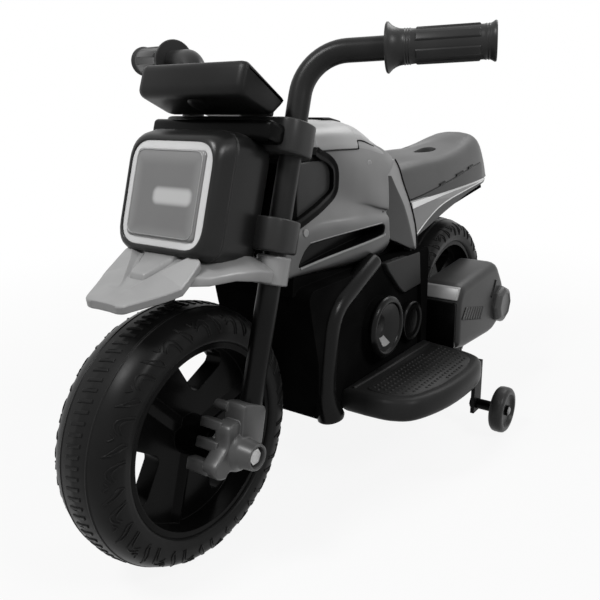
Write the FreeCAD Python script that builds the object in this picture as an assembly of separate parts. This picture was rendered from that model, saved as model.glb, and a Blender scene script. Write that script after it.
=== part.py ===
import FreeCAD, Part
import math
import os

from FreeCAD import Placement, Rotation, Vector

# A child's electric ride-on motorbike, in millimetres.
# It faces -Y, +X is its left side, +Z is up, and it stands on its tyres at z = 0.

# General fits
OVERRUN = 2.0
RUN_CLEAR = 0.05
SIDE_CLEAR = 0.3
WALL = 3.0
NEAR = 0.001

# Wheels, tyres and hubs
WHEEL_R = 130.0
TYRE_HALF = 38.5
TYRE_WALL = 6.0
RIM_R = 95.0
RIM_HALF = 34.0
RIM_WALL = 6.0
WEB_HALF = 10.0
RIB_RISE = 5.0
RIB_HALF = 11.0
GEAR_SEAT = 16.0
SPOKE_COUNT = 3
SPOKE_TURN = 13.0
BUSH_R = 8.0
BUSH_LENGTH = 18.0
BUSH_FLANGE_R = 13.0
BUSH_FLANGE = 3.0
TYRE_SIDE_SHARE = 0.34
TYRE_CHEEK_SHARES = (0.94, 0.61)
TYRE_SHOULDER_SHARES = (0.76, 0.80)
OPENING_OUT_SHARE = 0.95
OPENING_IN_SHARE = 0.22
OPENING_HALF_TURN = 27.0
OPENING_CORNER_R = 9.0

# Wheelbase and steering geometry
WHEELBASE = 552.0
RAKE = 17.5
STEM_BACK = 28.0
FORK_TRAIL = 15.7
LEG_HALF = 67.0

# Fork tubes, which run on into the handlebars
TUBE_R = 11.0
TUBE_WALL = 1.5
TUBE_FOOT = 14.0
BAR_OVER_YOKE = 61.0
BAR_BEND_R = 45.0
BAR_SWEEP = 22.2
BAR_RISE = 1.8
BAR_TO_GRIP = 74.7

# Grips
GRIP_LENGTH = 97.3
GRIP_R = 15.0
GRIP_FLANGE_R = 22.5
GRIP_FLANGE = 7.0
GRIP_END = 5.0
GRIP_END_R = 17.5
GRIP_RIB_COUNT = 9
GRIP_RIB = 3.0
GRIP_RIB_RISE = 1.0

# Yokes, stem and head bushes
YOKE_HEIGHT = 35.0
YOKE_WALL = 8.0
YOKE_BRIDGE_HALF = 15.0
STEM_R = 8.0
STEM_BOSS_R = 22.0
STEM_HEAD = 6.0
STEM_HEAD_R = 13.0
STEM_NUT = 8.0
HEAD_TUBE_R = 20.0
LOWER_YOKE = 184.0
UPPER_YOKE = 280.0
HEAD_BUSH_R = 11.0
HEAD_BUSH_LENGTH = 16.0
HEAD_FLANGE_R = 16.0

# Headlight, square to the fork
LAMP_HALF = 56.0
LAMP_HEIGHT = 107.0
LAMP_OVER_YOKE = 38.8
LAMP_CORNER_R = 18.0
LAMP_FRONT = 114.0
LAMP_SEAM = 20.0
LAMP_RIM = 5.5
LAMP_EDGE_R = 5.0
RING_WIDTH = 8.0
RING_SET_BACK = 1.5
RING_DEPTH = 8.0
LENS_PROUD = 3.0
LENS_DEPTH = 11.0
LENS_EDGE_R = 2.5
LED_BOARD = 1.6
LED_BAR_HALF = 21.0
LED_BAR_HEIGHT = 12.0
LED_BAR_DROP = 6.0

# Dash
DASH_TILT = 33.0
DASH_MIDDLE_Y = -75.42
DASH_HEIGHT = 18.39
DASH_HALF = 62.5
DASH_LENGTH = 64.4
DASH_DEPTH = 22.0
DASH_CORNER_R = 6.0
DASH_UNDER_SHARES = (-0.40, 0.32)
DASH_PANEL = 2.5
DASH_RIM = 3.5
DASH_POCKET = 17.0
DASH_POCKET_SHARES = (-0.35, 0.28)
DASH_NECK_HALF = 42.0
DASH_NECK_SHARES = (-0.62, -0.28)
DASH_NECK_DROP = 10.39
BUTTON_R = 7.0
BUTTON_GAP = 0.3
BUTTON_RISE = 3.5
BUTTON_DEPTH = 6.0
BUTTON_LIP = 1.8
BUTTON_LIP_DEPTH = 2.0
BUTTON_PLACES_SHARES = {"power_button": -0.72, "music_button": -0.40, "horn_button": -0.08}
ROCKER_PLACE_SHARE = 0.52
ROCKER_HALF = 11.0
ROCKER_WIDTH = 13.0
ROCKER_RISE = 3.0
ROCKER_DEPTH = 6.0
ROCKER_FOOT_SHARE = 0.7
ROCKER_GAP = 0.9
ROCKER_PIN_R = 1.5
ROCKER_PIN_REACH = 3.0
ROCKER_CHEEK = 3.0

# Front mudguard
GUARD_UNDER_YOKE = 4.0
GUARD_COLLAR = 32.0
GUARD_COLLAR_WALL = 5.5
GUARD_REAR = 110.0
GUARD_LENGTH = 53.0
GUARD_HALF = 50.0
GUARD_DROP = 15.0
GUARD_FALL = 48.0
GUARD_TONGUE_HALF = 21.0
GUARD_SIDE_DROP = 8.0
GUARD_SKIN = 7.0
GUARD_STATION_SHARES = ((0.0, 0.94, 0.0), (0.40, 1.0, 0.50), (1.0, 0.57, 1.0))
GUARD_ARM_IN = 24.0
GUARD_ARM_THICK = 14.0
GUARD_ARM_DROP = 8.0

# Fork ends with their dummy brake
FORK_END_IN = 57.0
FORK_END_OUT = 79.0
FORK_END_REACH = 54.0
FORK_END_RISE = 40.0
FORK_END_CORNER_R = 5.0
FORK_END_SHARES = (
    (0.56, 0.62), (0.50, 1.0), (0.02, 1.0), (-0.20, 0.80), (-0.42, 0.42), (-0.98, 0.12),
    (-1.0, -0.44), (-0.52, -0.62), (0.08, -0.56), (0.40, -0.30))
FORK_SOCKET_WALL = 4.0
AXLE_R = 5.0
AXLE_BOSS_R = 13.0
AXLE_BOSS_END = 97.0
AXLE_RECESS_R = 9.5
AXLE_RECESS = 9.0
AXLE_NUT_R = 8.0
AXLE_NUT = 6.0
AXLE_COLLAR_R = 10.0
PAD_REACH = 20.0
PAD_SIZE = 13.0
PAD_SHARES = ((-0.80, -0.10), (-0.54, -0.40), (-0.26, 0.72))
PEG_R = 6.0
PEG_SHARES = (-0.02, 0.82)

# Body frame: places along the wheelbase, up the body and across it are shares of these
HULL_DROP = 35.0
BODY_HEIGHT = 323.0
BODY_HALF = 70.0
WHEEL_GAP = 14.0

# Hull: the engine block, the spine above it, and the rear arms
ENGINE_HALF = 66.0
ENGINE_TOP_SHARE = 0.48
ENGINE_LEAN = 18.0
ENGINE_CORNER_R = 12.0
SPINE_HALF = 46.0
SPINE_FOOT = 8.0
HEAD_ROOM = 28.0
SPINE_BACK_SHARES = (
    (-0.188, 0.907), (0.065, 0.876), (0.083, 0.827), (0.167, 0.672), (0.638, 0.672),
    (0.649, 0.635), (0.389, 0.579), (0.272, 0.500))
ARM_IN = 46.5
ARM_THICK = 11.5
ARM_REACH = 166.0
ARM_HEAD = 26.0
ARM_SHARES = ((-1.0, -0.96), (-1.0, 2.2), (-0.19, 2.2), (0.157, 0.8), (0.157, -0.8), (-0.157, -1.15))
ARM_CORNER_R = 10.0

# Engine relief on each side of the hull
FRAME_TUBE_R = 11.0
FRAME_TUBE_SINK = 2.0
FRAME_TUBE_BEND_R = 40.0
FRAME_TUBE_SHARES = ((-0.030, 0.500), (-0.190, 0.378), (-0.224, 0.030))
HORN_SHARES = (-0.014, 0.251)
HORN_R = 36.0
HORN_RISE = 17.0
HORN_LIP = 5.0
HORN_THROAT_R = 12.0
HORN_FLOOR = 3.0
DISC_SHARES = (0.133, 0.201)
DISC_R = 26.0
DISC_RISE = 8.0
DISC_DISH_R = 17.0
DISC_DISH = 3.0
COLUMN_RISE = 6.0
ARCH_CLEAR = 3.0
COLUMN_SHARES = (
    (0.104, 0.48), (0.20, 0.48), (0.216, 0.33), (0.216, 0.05), (0.188, 0.05), (0.188, 0.12), (0.180, 0.33))

# Tank deck, tank cover and filler cap
DECK_THICK = 6.0
DECK_SHARES = (-0.186, 0.064)
COVER_STATION_SHARES = (
    (-0.170, ((0.543, 0.000), (0.529, 0.045), (0.371, 0.072), (0.0, 0.080))),
    (-0.115, ((0.600, 0.000), (0.586, 0.050), (0.429, 0.080), (0.0, 0.092))),
    (-0.027, ((0.629, 0.000), (0.614, 0.045), (0.443, 0.080), (0.0, 0.094))),
    (0.030, ((0.560, 0.000), (0.543, 0.028), (0.386, 0.052), (0.0, 0.062))),
    (0.060, ((0.400, 0.000), (0.380, 0.010), (0.250, 0.020), (0.0, 0.026))))
CAP_HALF = 13.0
CAP_SHARES = (-0.062, 0.004)
CAP_RISE = 4.0
CAP_CORNER_R = 5.0

# Side panels, knee plates and tail panels
PANEL_STATION_SHARES = (
    (-0.301, ((0.714, 0.545), (0.729, 0.604), (0.700, 0.653), (0.686, 0.697), (0.679, 0.728))),
    (-0.217, ((0.771, 0.545), (0.814, 0.647), (0.743, 0.740), (0.714, 0.839), (0.686, 0.905))),
    (-0.127, ((0.829, 0.545), (0.900, 0.644), (0.786, 0.746), (0.757, 0.839), (0.686, 0.900))),
    (-0.018, ((0.900, 0.545), (0.971, 0.641), (0.843, 0.746), (0.814, 0.833), (0.686, 0.886))),
    (0.060, ((0.935, 0.545), (1.000, 0.635), (0.871, 0.740), (0.829, 0.820), (0.686, 0.876))))
WINDOW_SHARES = (
    (-0.362, 0.690), (-0.248, 0.690), (-0.174, 0.740), (-0.138, 0.789), (-0.141, 0.845),
    (-0.174, 0.885), (-0.203, 0.944), (-0.362, 0.944))
WINDOW_CORNER_R = 6.0
SLOT_SHARES = ((-0.257, 0.562), (-0.217, 0.628), (0.010, 0.622), (0.010, 0.592))
SLOT_CORNER_R = 2.5
SLOT_DEPTH_SHARE = 0.80
SEAM_SHARES = ((0.065, 0.858), (0.014, 0.814), (0.033, 0.570))
KNEE_FOOT_SHARES = ((0.149, 0.498), (0.138, 0.486))
KNEE_HALF = 67.0
TAIL_SHARES = ((0.663, 0.681), (0.652, 0.659), (0.489, 0.625), (0.328, 0.573), (0.170, 0.517))
TAIL_FRONT_HALF = 63.0
TAIL_REAR_HALF = 49.0

# Seat
SEAT_WALL = 4.0
SEAT_STATION_SHARES = (
    (0.054, ((0.714, 0.777), (0.514, 0.839), (0.0, 0.845))),
    (0.217, ((0.743, 0.786), (0.529, 0.839), (0.0, 0.839))),
    (0.362, ((0.743, 0.799), (0.529, 0.845), (0.0, 0.842))),
    (0.489, ((0.714, 0.811), (0.514, 0.861), (0.0, 0.854))),
    (0.589, ((0.671, 0.817), (0.486, 0.882), (0.0, 0.892))),
    (0.638, ((0.629, 0.811), (0.443, 0.879), (0.0, 0.895))),
    (0.678, ((0.571, 0.774), (0.400, 0.814), (0.0, 0.827))),
    (0.699, ((0.543, 0.721), (0.371, 0.734), (0.0, 0.740))))
SEAT_FOOT_SHARES = (0.786, 0.829, 0.829, 0.800, 0.743, 0.700, 0.643, 0.600)

# Foot steps
STEP_TOP = 27.0
STEP_REACH = 107.6
STEP_HALF_LENGTH = 102.0
STEP_MIDDLE = 11.0
STEP_WALL = 4.0
STEP_EDGE_R = 4.0
STEP_SHARES = (
    (0.0, -0.96), (0.316, -1.0), (0.595, -0.96), (0.813, -0.78), (0.962, -0.294), (1.0, 0.324),
    (0.92, 0.745), (0.706, 0.92), (0.242, 1.0), (0.0, 1.0))

# Accelerator pedal on the right step
PEDAL_HALF = 26.0
PEDAL_LENGTH = 84.0
PEDAL_THICK = 6.0
PEDAL_LIFT = 8.0
PEDAL_PLACE_SHARE = 0.52
PEDAL_HEEL_SHARE = 0.50
PEDAL_BARREL_R = 5.0
PEDAL_PIN_R = 2.5
PEDAL_EAR = 6.0
PEDAL_EDGE_R = 8.0

# Exhaust boxes beside the rear wheel
BOX_HALF = 116.0
BOX_EDGE = 7.0
BOX_HEIGHT = 113.05
BOX_SHARES = (
    (0.221, 0.1514), (0.221, 0.7343), (0.243, 0.9114), (0.475, 1.0), (0.531, 0.6629), (0.554, 0.38),
    (0.529, 0.1514), (0.464, 0.0286), (0.272, 0.08))
AXLE_CAP_R = 19.0
AXLE_CAP = 12.0
AXLE_CAP_EDGE = 4.0
AXLE_CAP_SIDES = 8
REAR_AXLE_R = 6.0
REAR_AXLE_HOLD = 8.0

# Drive gears inside the right of the rear wheel
GEAR_ROOM = 3.5
PRESSURE_ANGLE = 25.0
BACKLASH = 0.25
TIP_SHARE = 1.0
ROOT_SHARE = 1.25
FLANK_STEPS = 4
RING_TEETH = 60
IDLER_TEETH = 36
PINION_TEETH = 12
RING_GEAR = 12.0
RING_GEAR_WALL = 7.125
GEAR_WIDTH = 6.0
GEAR_SPACE = 1.5
IDLER_PIN_R = 4.0
IDLER_HEADING = 180.0
MOTOR_HEADING = 100.0
CASE_WALL = 2.0
CASE_CLEAR = 1.0
MOTOR_R = 18.0
MOTOR_ROOM = 7.0
MOTOR_SHAFT_R = 2.5
MOTOR_BOSS_R = 6.0
MOTOR_BOSS = 5.0

# Battery and charging socket
BATTERY_HALF = 35.0
BATTERY_LENGTH = 150.0
BATTERY_HEIGHT = 98.0
BATTERY_MIDDLE = 5.0
BATTERY_EDGE = 3.0
TERMINAL_HALF = 4.0
TERMINAL_RISE = 6.0
SOCKET_SHARES = (0.050, 0.400)
SOCKET_R = 7.0
SOCKET_FLANGE_R = 10.0
SOCKET_FLANGE = 2.0
SOCKET_DEPTH = 14.0
SOCKET_BORE_R = 5.5
SOCKET_BORE = 7.0
SOCKET_JACK_R = 2.8
SOCKET_JACK = 5.0

# Stabilisers
STAB_R = 31.0
STAB_WIDTH = 19.0
STAB_LIFT = 3.6
STAB_PLACE = 177.5
STAB_Y = 140.0
STAB_TYRE_EDGE = 3.0
STAB_DISH_R = 22.0
STAB_DISH = 4.0
STAB_BOLT_R = 4.0
STAB_BOLT_HEAD_R = 7.0
STAB_BOLT_HEAD = 4.0
STRAP_THICK = 5.0
STRAP_HALF = 12.0
STRAP_PLACE = 140.0
STRAP_END = 11.0
STRAP_FOOT_FORE = 55.0
STRAP_FOOT_IN = 50.0

# Body screws through the side panels
SCREW_R = 2.0
SCREW_HEAD_R = 4.0
SCREW_HEAD = 2.4
SCREW_LENGTH = 16.0
SCREW_SHARES = ((-0.250, 0.665), (-0.020, 0.850))

# Values that follow from the sizes above
AXLE_Z = WHEEL_R
FRONT_Y = -WHEELBASE / 2
REAR_Y = WHEELBASE / 2
BODY_BASE = AXLE_Z - HULL_DROP
HULL_FRONT = FRONT_Y + WHEEL_R + WHEEL_GAP
HULL_REAR = REAR_Y - WHEEL_R - WHEEL_GAP
ENGINE_TOP = BODY_BASE + ENGINE_TOP_SHARE * BODY_HEIGHT
STEM_OFFSET = STEM_BACK + FORK_TRAIL
RAKE_SIN = math.sin(math.radians(RAKE))
RAKE_COS = math.cos(math.radians(RAKE))
STEER_Y = FRONT_Y + STEM_OFFSET * RAKE_COS
STEER_Z = AXLE_Z - STEM_OFFSET * RAKE_SIN
STEER = Placement(Vector(0, STEER_Y, STEER_Z), Rotation(Vector(1, 0, 0), -RAKE))
YOKE_R = TUBE_R + YOKE_WALL
YOKE_TOP = UPPER_YOKE + YOKE_HEIGHT
HEAD_LOW = LOWER_YOKE + YOKE_HEIGHT + SIDE_CLEAR + BUSH_FLANGE
HEAD_HIGH = UPPER_YOKE - SIDE_CLEAR - BUSH_FLANGE
BAR_CORNER = YOKE_TOP + BAR_OVER_YOKE
LAMP_MIDDLE = LOWER_YOKE + LAMP_OVER_YOKE
LAMP_BACK = STEM_BACK + YOKE_R
GUARD_COLLAR_HIGH = LOWER_YOKE - GUARD_UNDER_YOKE
GUARD_TOP = GUARD_COLLAR_HIGH - GUARD_DROP
DASH_PLACE = STEER.multVec(Vector(0, DASH_MIDDLE_Y, YOKE_TOP + DASH_HEIGHT))
DASH = Placement(DASH_PLACE, Rotation(Vector(1, 0, 0), -DASH_TILT))
ARM_OUT = ARM_IN + ARM_THICK
BOX_IN = ARM_OUT
MOTOR_LENGTH = BOX_HALF - BOX_EDGE - MOTOR_ROOM - BOX_IN
GEAR_SPAN = RING_TEETH / 2 + PINION_TEETH / 2 + IDLER_TEETH / 2 + TIP_SHARE
GEAR_MODULE = (RIM_R - RIM_WALL - GEAR_ROOM - CASE_WALL - CASE_CLEAR) / GEAR_SPAN
RING_GEAR_IN_R = GEAR_MODULE * (RING_TEETH / 2 - ROOT_SHARE) - RING_GEAR_WALL
HUB_R = RING_GEAR_IN_R - GEAR_SEAT
X_AXIS = Vector(1, 0, 0)


def along(share):
    """Place along the bike, as a share of the wheelbase from its middle."""
    return share * WHEELBASE


def level(share):
    """Height on the body, as a share of the body's height above its foot."""
    return BODY_BASE + share * BODY_HEIGHT


def across(share):
    """Distance from the middle plane, as a share of the body's half width."""
    return share * BODY_HALF


def side_points(shares):
    """Side outline (y, z) from a table of shares of the body."""
    return [(along(s), level(t)) for s, t in shares]


def fork_point(y, w):
    """Side place (y, z) of a point given square to the steering axis and along it."""
    point = STEER.multVec(Vector(0, y, w))
    return point.y, point.z


def rounded_wire(points, radius=0.0):
    """Closed wire through points of one plane, with every corner rounded alike."""
    count = len(points)
    if radius == 0:
        return Part.makePolygon(list(points) + [points[0]])
    corners = []
    for index, corner in enumerate(points):
        back = (points[index - 1] - corner).normalize()
        ahead = (points[(index + 1) % count] - corner).normalize()
        half = back.getAngle(ahead) / 2
        reach = radius / math.tan(half)
        middle_way = (back + ahead).normalize()
        middle = corner + middle_way * (radius / math.sin(half) - radius)
        corners.append((corner + back * reach, middle, corner + ahead * reach))
    edges = []
    for index, (start, middle, end) in enumerate(corners):
        edges.append(Part.Arc(start, middle, end).toShape())
        following = corners[(index + 1) % count][0]
        if (following - end).Length > NEAR:
            edges.append(Part.LineSegment(end, following).toShape())
    return Part.Wire(edges)


def upright(shape):
    """The same solid with its faces pointing outwards."""
    if shape.Volume < 0:
        shape.reverse()
    return shape


def prism_x(outline, start, end, radius=0.0):
    """Side outline (y, z) drawn out across the bike."""
    wire = rounded_wire([Vector(start, y, z) for y, z in outline], radius)
    return upright(Part.Face(wire).extrude(Vector(end - start, 0, 0)))


def prism_y(outline, start, end, radius=0.0):
    """Front outline (x, z) drawn out along the bike."""
    wire = rounded_wire([Vector(x, start, z) for x, z in outline], radius)
    return upright(Part.Face(wire).extrude(Vector(0, end - start, 0)))


def prism_z(outline, start, end, radius=0.0):
    """Plan outline (x, y) drawn out upwards."""
    wire = rounded_wire([Vector(x, y, start) for x, y in outline], radius)
    return upright(Part.Face(wire).extrude(Vector(0, 0, end - start)))


def block(x_span, y_span, z_span):
    """Box between pairs of coordinates."""
    corner = Vector(x_span[0], y_span[0], z_span[0])
    return Part.makeBox(x_span[1] - x_span[0], y_span[1] - y_span[0], z_span[1] - z_span[0], corner)


def rod(start, end, radius):
    """Round bar between two points."""
    way = end - start
    return Part.makeCylinder(radius, way.Length, start, way)


def rod_x(radius, start, end, y, z):
    """Round bar across the bike."""
    return rod(Vector(start, y, z), Vector(end, y, z), radius)


def hex_x(radius, start, end, y, z, sides=6):
    """Bar of a regular section across the bike."""
    turns = [2 * math.pi * index / sides for index in range(sides)]
    return prism_x([(y + radius * math.cos(t), z + radius * math.sin(t)) for t in turns], start, end)


def hex_z(radius, start, end):
    """Hexagonal bar along Z at the origin."""
    turns = [2 * math.pi * index / 6 for index in range(6)]
    return prism_z([(radius * math.cos(t), radius * math.sin(t)) for t in turns], start, end)


def fuse(shapes):
    """One solid from several that overlap or share faces."""
    return shapes[0].multiFuse(shapes[1:]).removeSplitter()


def cut(shape, tools):
    """The shape without the tools."""
    return shape.cut(Part.makeCompound(tools))


def mirrored(shape):
    """The same shape on the other side of the bike."""
    return upright(shape.mirror(Vector(0, 0, 0), X_AXIS))


def placed(shape, frame):
    """The shape moved from a frame's own coordinates to the bike's."""
    moved = shape.copy()
    moved.Placement = frame.multiply(moved.Placement)
    return moved


def shifted(shape, x, y, z):
    """The shape moved by a distance."""
    moved = shape.copy()
    moved.translate(Vector(x, y, z))
    return moved


def edges_in(shape, axis, value):
    """Edges that lie in the plane where one coordinate has the given value."""
    found = []
    for edge in shape.Edges:
        box = edge.BoundBox
        spans = ((box.XMin, box.XMax), (box.YMin, box.YMax), (box.ZMin, box.ZMax))
        if max(abs(bound - value) for bound in spans[axis]) < NEAR * WALL:
            found.append(edge)
    return found


def loft(sections):
    """Solid skinned over closed polygons with equal counts of points."""
    return upright(Part.makeLoft([rounded_wire(points) for points in sections], True, True))


def save(name, shape):
    """Write one node's solids, after a look at their health."""
    if not shape.isValid() or shape.Volume <= 0:
        raise ValueError(name + " is not a sound solid")
    shape.exportStep(os.path.join("parts", name + ".step"))
    print(name, len(shape.Solids), round(shape.Volume / 1000.0, 2))


# Wheels

def tyre_section(half, foot, crown, bead):
    """Half-round tyre outline as edges, from one bead over the crown to the other."""
    rise = crown - foot
    side = foot + TYRE_SIDE_SHARE * rise
    cheek = (TYRE_CHEEK_SHARES[0] * half, foot + TYRE_CHEEK_SHARES[1] * rise)
    shoulder = (TYRE_SHOULDER_SHARES[0] * half, foot + TYRE_SHOULDER_SHARES[1] * rise)
    left = [Vector(-bead, 0, foot), Vector(-half, 0, side), Vector(-cheek[0], 0, cheek[1]),
            Vector(-shoulder[0], 0, shoulder[1])]
    right = [Vector(-p.x, 0, p.z) for p in reversed(left)]
    top = Vector(0, 0, crown)
    return [Part.LineSegment(left[0], left[1]).toShape(),
            Part.Arc(left[1], left[2], left[3]).toShape(),
            Part.Arc(left[3], top, right[0]).toShape(),
            Part.Arc(right[0], right[1], right[2]).toShape(),
            Part.LineSegment(right[2], right[3]).toShape()]


def make_tyre():
    """Hollow tyre, open towards the rim, about X at the origin."""
    outer = tyre_section(TYRE_HALF, RIM_R, WHEEL_R, RIM_HALF)
    inner_bead = RIM_HALF - TYRE_WALL
    inner = tyre_section(TYRE_HALF - TYRE_WALL, RIM_R, WHEEL_R - TYRE_WALL, inner_bead)
    lands = [Part.LineSegment(Vector(s * RIM_HALF, 0, RIM_R), Vector(s * inner_bead, 0, RIM_R)).toShape()
             for s in (-1, 1)]
    wire = Part.Wire(Part.__sortEdges__(outer + inner + lands))
    return upright(Part.Face(wire).revolve(Vector(0, 0, 0), X_AXIS, 360))


def spoke_opening(turn):
    """Teardrop window between two spokes, right through the web."""
    outer = OPENING_OUT_SHARE * (RIM_R - RIM_WALL)
    inner = OPENING_IN_SHARE * outer + HUB_R
    bow = outer / math.sqrt(math.cos(math.radians(OPENING_HALF_TURN)))
    places = ((inner, 0.0), (outer, OPENING_HALF_TURN), (bow, 0.0), (outer, -OPENING_HALF_TURN))
    points = []
    for radius, offset in places:
        angle = math.radians(turn + offset)
        points.append((radius * math.cos(angle), radius * math.sin(angle)))
    return prism_x(points, -RIM_HALF, RIM_HALF, OPENING_CORNER_R)


def spoke_rib(turn, face):
    """Raised ridge along a spoke, on one face of the web."""
    start = HUB_R - OVERRUN
    end = RIM_R - RIM_WALL / 2
    base = face * (WEB_HALF - OVERRUN)
    top = face * (WEB_HALF + RIB_RISE)
    ridge = prism_y([(base, -RIB_HALF), (base, RIB_HALF), (top, 0)], start, end)
    ridge.rotate(Vector(0, 0, 0), X_AXIS, turn)
    return ridge


def make_rim(hub_half):
    """Three-spoke rim with its hub, about X at the origin."""
    barrel = rod_x(RIM_R, -RIM_HALF, RIM_HALF, 0, 0)
    barrel = barrel.cut(rod_x(RIM_R - RIM_WALL, -RIM_HALF - OVERRUN, RIM_HALF + OVERRUN, 0, 0))
    step = 360.0 / SPOKE_COUNT
    turns = [SPOKE_TURN + step * index for index in range(SPOKE_COUNT)]
    web = rod_x(RIM_R - RIM_WALL / 2, -WEB_HALF, WEB_HALF, 0, 0)
    web = cut(web, [spoke_opening(turn + step / 2) for turn in turns])
    ribs = [spoke_rib(turn, face) for turn in turns for face in (-1, 1)]
    hub = rod_x(HUB_R, -hub_half, hub_half, 0, 0)
    rim = fuse([barrel, web, hub] + ribs)
    return rim.cut(rod_x(BUSH_R, -hub_half - OVERRUN, hub_half + OVERRUN, 0, 0))


def make_hub_bushes(hub_half, axle_r):
    """Pair of flanged bushes in a hub, about X at the origin."""
    bushes = []
    for side in (-1, 1):
        face = side * hub_half
        sleeve = rod_x(BUSH_R, face - side * BUSH_LENGTH, face, 0, 0)
        flange = rod_x(BUSH_FLANGE_R, face, face + side * BUSH_FLANGE, 0, 0)
        far = side * (hub_half + BUSH_FLANGE + OVERRUN)
        bore = rod_x(axle_r + RUN_CLEAR, face - side * (BUSH_LENGTH + OVERRUN), far, 0, 0)
        bushes.append(fuse([sleeve, flange]).cut(bore))
    return Part.makeCompound(bushes)


FRONT_HUB_HALF = FORK_END_IN - SIDE_CLEAR - BUSH_FLANGE - AXLE_R
REAR_HUB_HALF = ARM_IN - SIDE_CLEAR - BUSH_FLANGE


# Fork, handlebars and grips

BAR_WAY = Vector(math.cos(math.radians(BAR_SWEEP)) * math.cos(math.radians(BAR_RISE)),
                 math.sin(math.radians(BAR_SWEEP)) * math.cos(math.radians(BAR_RISE)),
                 math.sin(math.radians(BAR_RISE)))
LEG_WAY = Vector(0, RAKE_SIN, RAKE_COS)
BAR_CORNER_POINT = STEER.multVec(Vector(LEG_HALF, -STEM_BACK, BAR_CORNER))
BAR_END = BAR_TO_GRIP + GRIP_LENGTH - GRIP_END


def make_fork_tube():
    """Left leg and handlebar as one bent tube."""
    foot = STEER.multVec(Vector(LEG_HALF, -STEM_BACK, TUBE_FOOT))
    end = BAR_CORNER_POINT + BAR_WAY * BAR_END
    turn = LEG_WAY.getAngle(BAR_WAY)
    reach = BAR_BEND_R * math.tan(turn / 2)
    start = BAR_CORNER_POINT - LEG_WAY * reach
    finish = BAR_CORNER_POINT + BAR_WAY * reach
    inward = (BAR_WAY - LEG_WAY).normalize()
    middle = BAR_CORNER_POINT + inward * (BAR_BEND_R / math.cos(turn / 2) - BAR_BEND_R)
    path = Part.Wire([Part.LineSegment(foot, start).toShape(), Part.Arc(start, middle, finish).toShape(),
                      Part.LineSegment(finish, end).toShape()])
    walls = []
    for radius in (TUBE_R, TUBE_R - TUBE_WALL):
        ring = Part.Wire(Part.makeCircle(radius, foot, LEG_WAY))
        walls.append(upright(path.makePipeShell([ring], True, False)))
    return walls[0].cut(walls[1])


def make_grip():
    """Left grip: flange, ribbed sleeve and closed end."""
    start = BAR_CORNER_POINT + BAR_WAY * BAR_TO_GRIP
    finish = start + BAR_WAY * GRIP_LENGTH
    flange = Part.makeCone(GRIP_FLANGE_R, GRIP_R, GRIP_FLANGE * 2, start + BAR_WAY * GRIP_FLANGE, BAR_WAY)
    disc = rod(start, start + BAR_WAY * GRIP_FLANGE, GRIP_FLANGE_R)
    sleeve = rod(start, finish, GRIP_R)
    end = rod(finish - BAR_WAY * GRIP_END, finish, GRIP_END_R)
    parts = [disc, flange, sleeve, end]
    free = GRIP_LENGTH - GRIP_FLANGE * 3 - GRIP_END
    for index in range(GRIP_RIB_COUNT):
        place = start + BAR_WAY * (GRIP_FLANGE * 3 + free * (index + 0.5) / GRIP_RIB_COUNT)
        parts.append(rod(place, place + BAR_WAY * GRIP_RIB, GRIP_R + GRIP_RIB_RISE))
    bore = rod(start - BAR_WAY * OVERRUN, finish - BAR_WAY * GRIP_END, TUBE_R)
    return fuse(parts).cut(bore)


def make_yoke(low):
    """Clamp that ties both legs to the stem."""
    high = low + YOKE_HEIGHT
    legs = [rod(Vector(s * LEG_HALF, -STEM_BACK, low), Vector(s * LEG_HALF, -STEM_BACK, high), YOKE_R)
            for s in (-1, 1)]
    bridge = block((-LEG_HALF, LEG_HALF), (-STEM_BACK - YOKE_R, -STEM_BACK + YOKE_BRIDGE_HALF), (low, high))
    boss = rod(Vector(0, 0, low), Vector(0, 0, high), STEM_BOSS_R)
    web = block((-STEM_BOSS_R, STEM_BOSS_R), (-STEM_BACK, 0), (low, high))
    places = [(-LEG_HALF, -STEM_BACK, TUBE_R), (LEG_HALF, -STEM_BACK, TUBE_R), (0, 0, STEM_R)]
    bores = [rod(Vector(x, y, low - OVERRUN), Vector(x, y, high + OVERRUN), r) for x, y, r in places]
    return placed(cut(fuse(legs + [bridge, boss, web]), bores), STEER)


def make_stem():
    """Steering stem: a bolt up through both yokes and the head tube."""
    top = YOKE_TOP + STEM_NUT
    shank = rod(Vector(0, 0, LOWER_YOKE), Vector(0, 0, top), STEM_R)
    head = hex_z(STEM_HEAD_R, LOWER_YOKE - STEM_HEAD, LOWER_YOKE)
    return placed(fuse([head, shank]), STEER)


def make_stem_nut():
    """Nut on top of the upper yoke."""
    low = YOKE_TOP
    high = low + STEM_NUT
    bore = rod(Vector(0, 0, low - OVERRUN), Vector(0, 0, high + OVERRUN), STEM_R)
    return placed(hex_z(STEM_HEAD_R, low, high).cut(bore), STEER)


def make_head_bushes():
    """Pair of flanged bushes in the head tube."""
    bushes = []
    for face, side in ((HEAD_LOW, -1), (HEAD_HIGH, 1)):
        sleeve = rod(Vector(0, 0, face - side * HEAD_BUSH_LENGTH), Vector(0, 0, face), HEAD_BUSH_R)
        flange = rod(Vector(0, 0, face), Vector(0, 0, face + side * BUSH_FLANGE), HEAD_FLANGE_R)
        bore = rod(Vector(0, 0, face - side * (HEAD_BUSH_LENGTH + OVERRUN)),
                   Vector(0, 0, face + side * (BUSH_FLANGE + OVERRUN)), STEM_R + RUN_CLEAR)
        bushes.append(fuse([sleeve, flange]).cut(bore))
    return placed(Part.makeCompound(bushes), STEER)


def fork_end_points(shares):
    """Places (y, w) about the axle, square to the fork and along it, as shares of reach and rise."""
    return [(-STEM_OFFSET + s * FORK_END_REACH, t * FORK_END_RISE) for s, t in shares]


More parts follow.
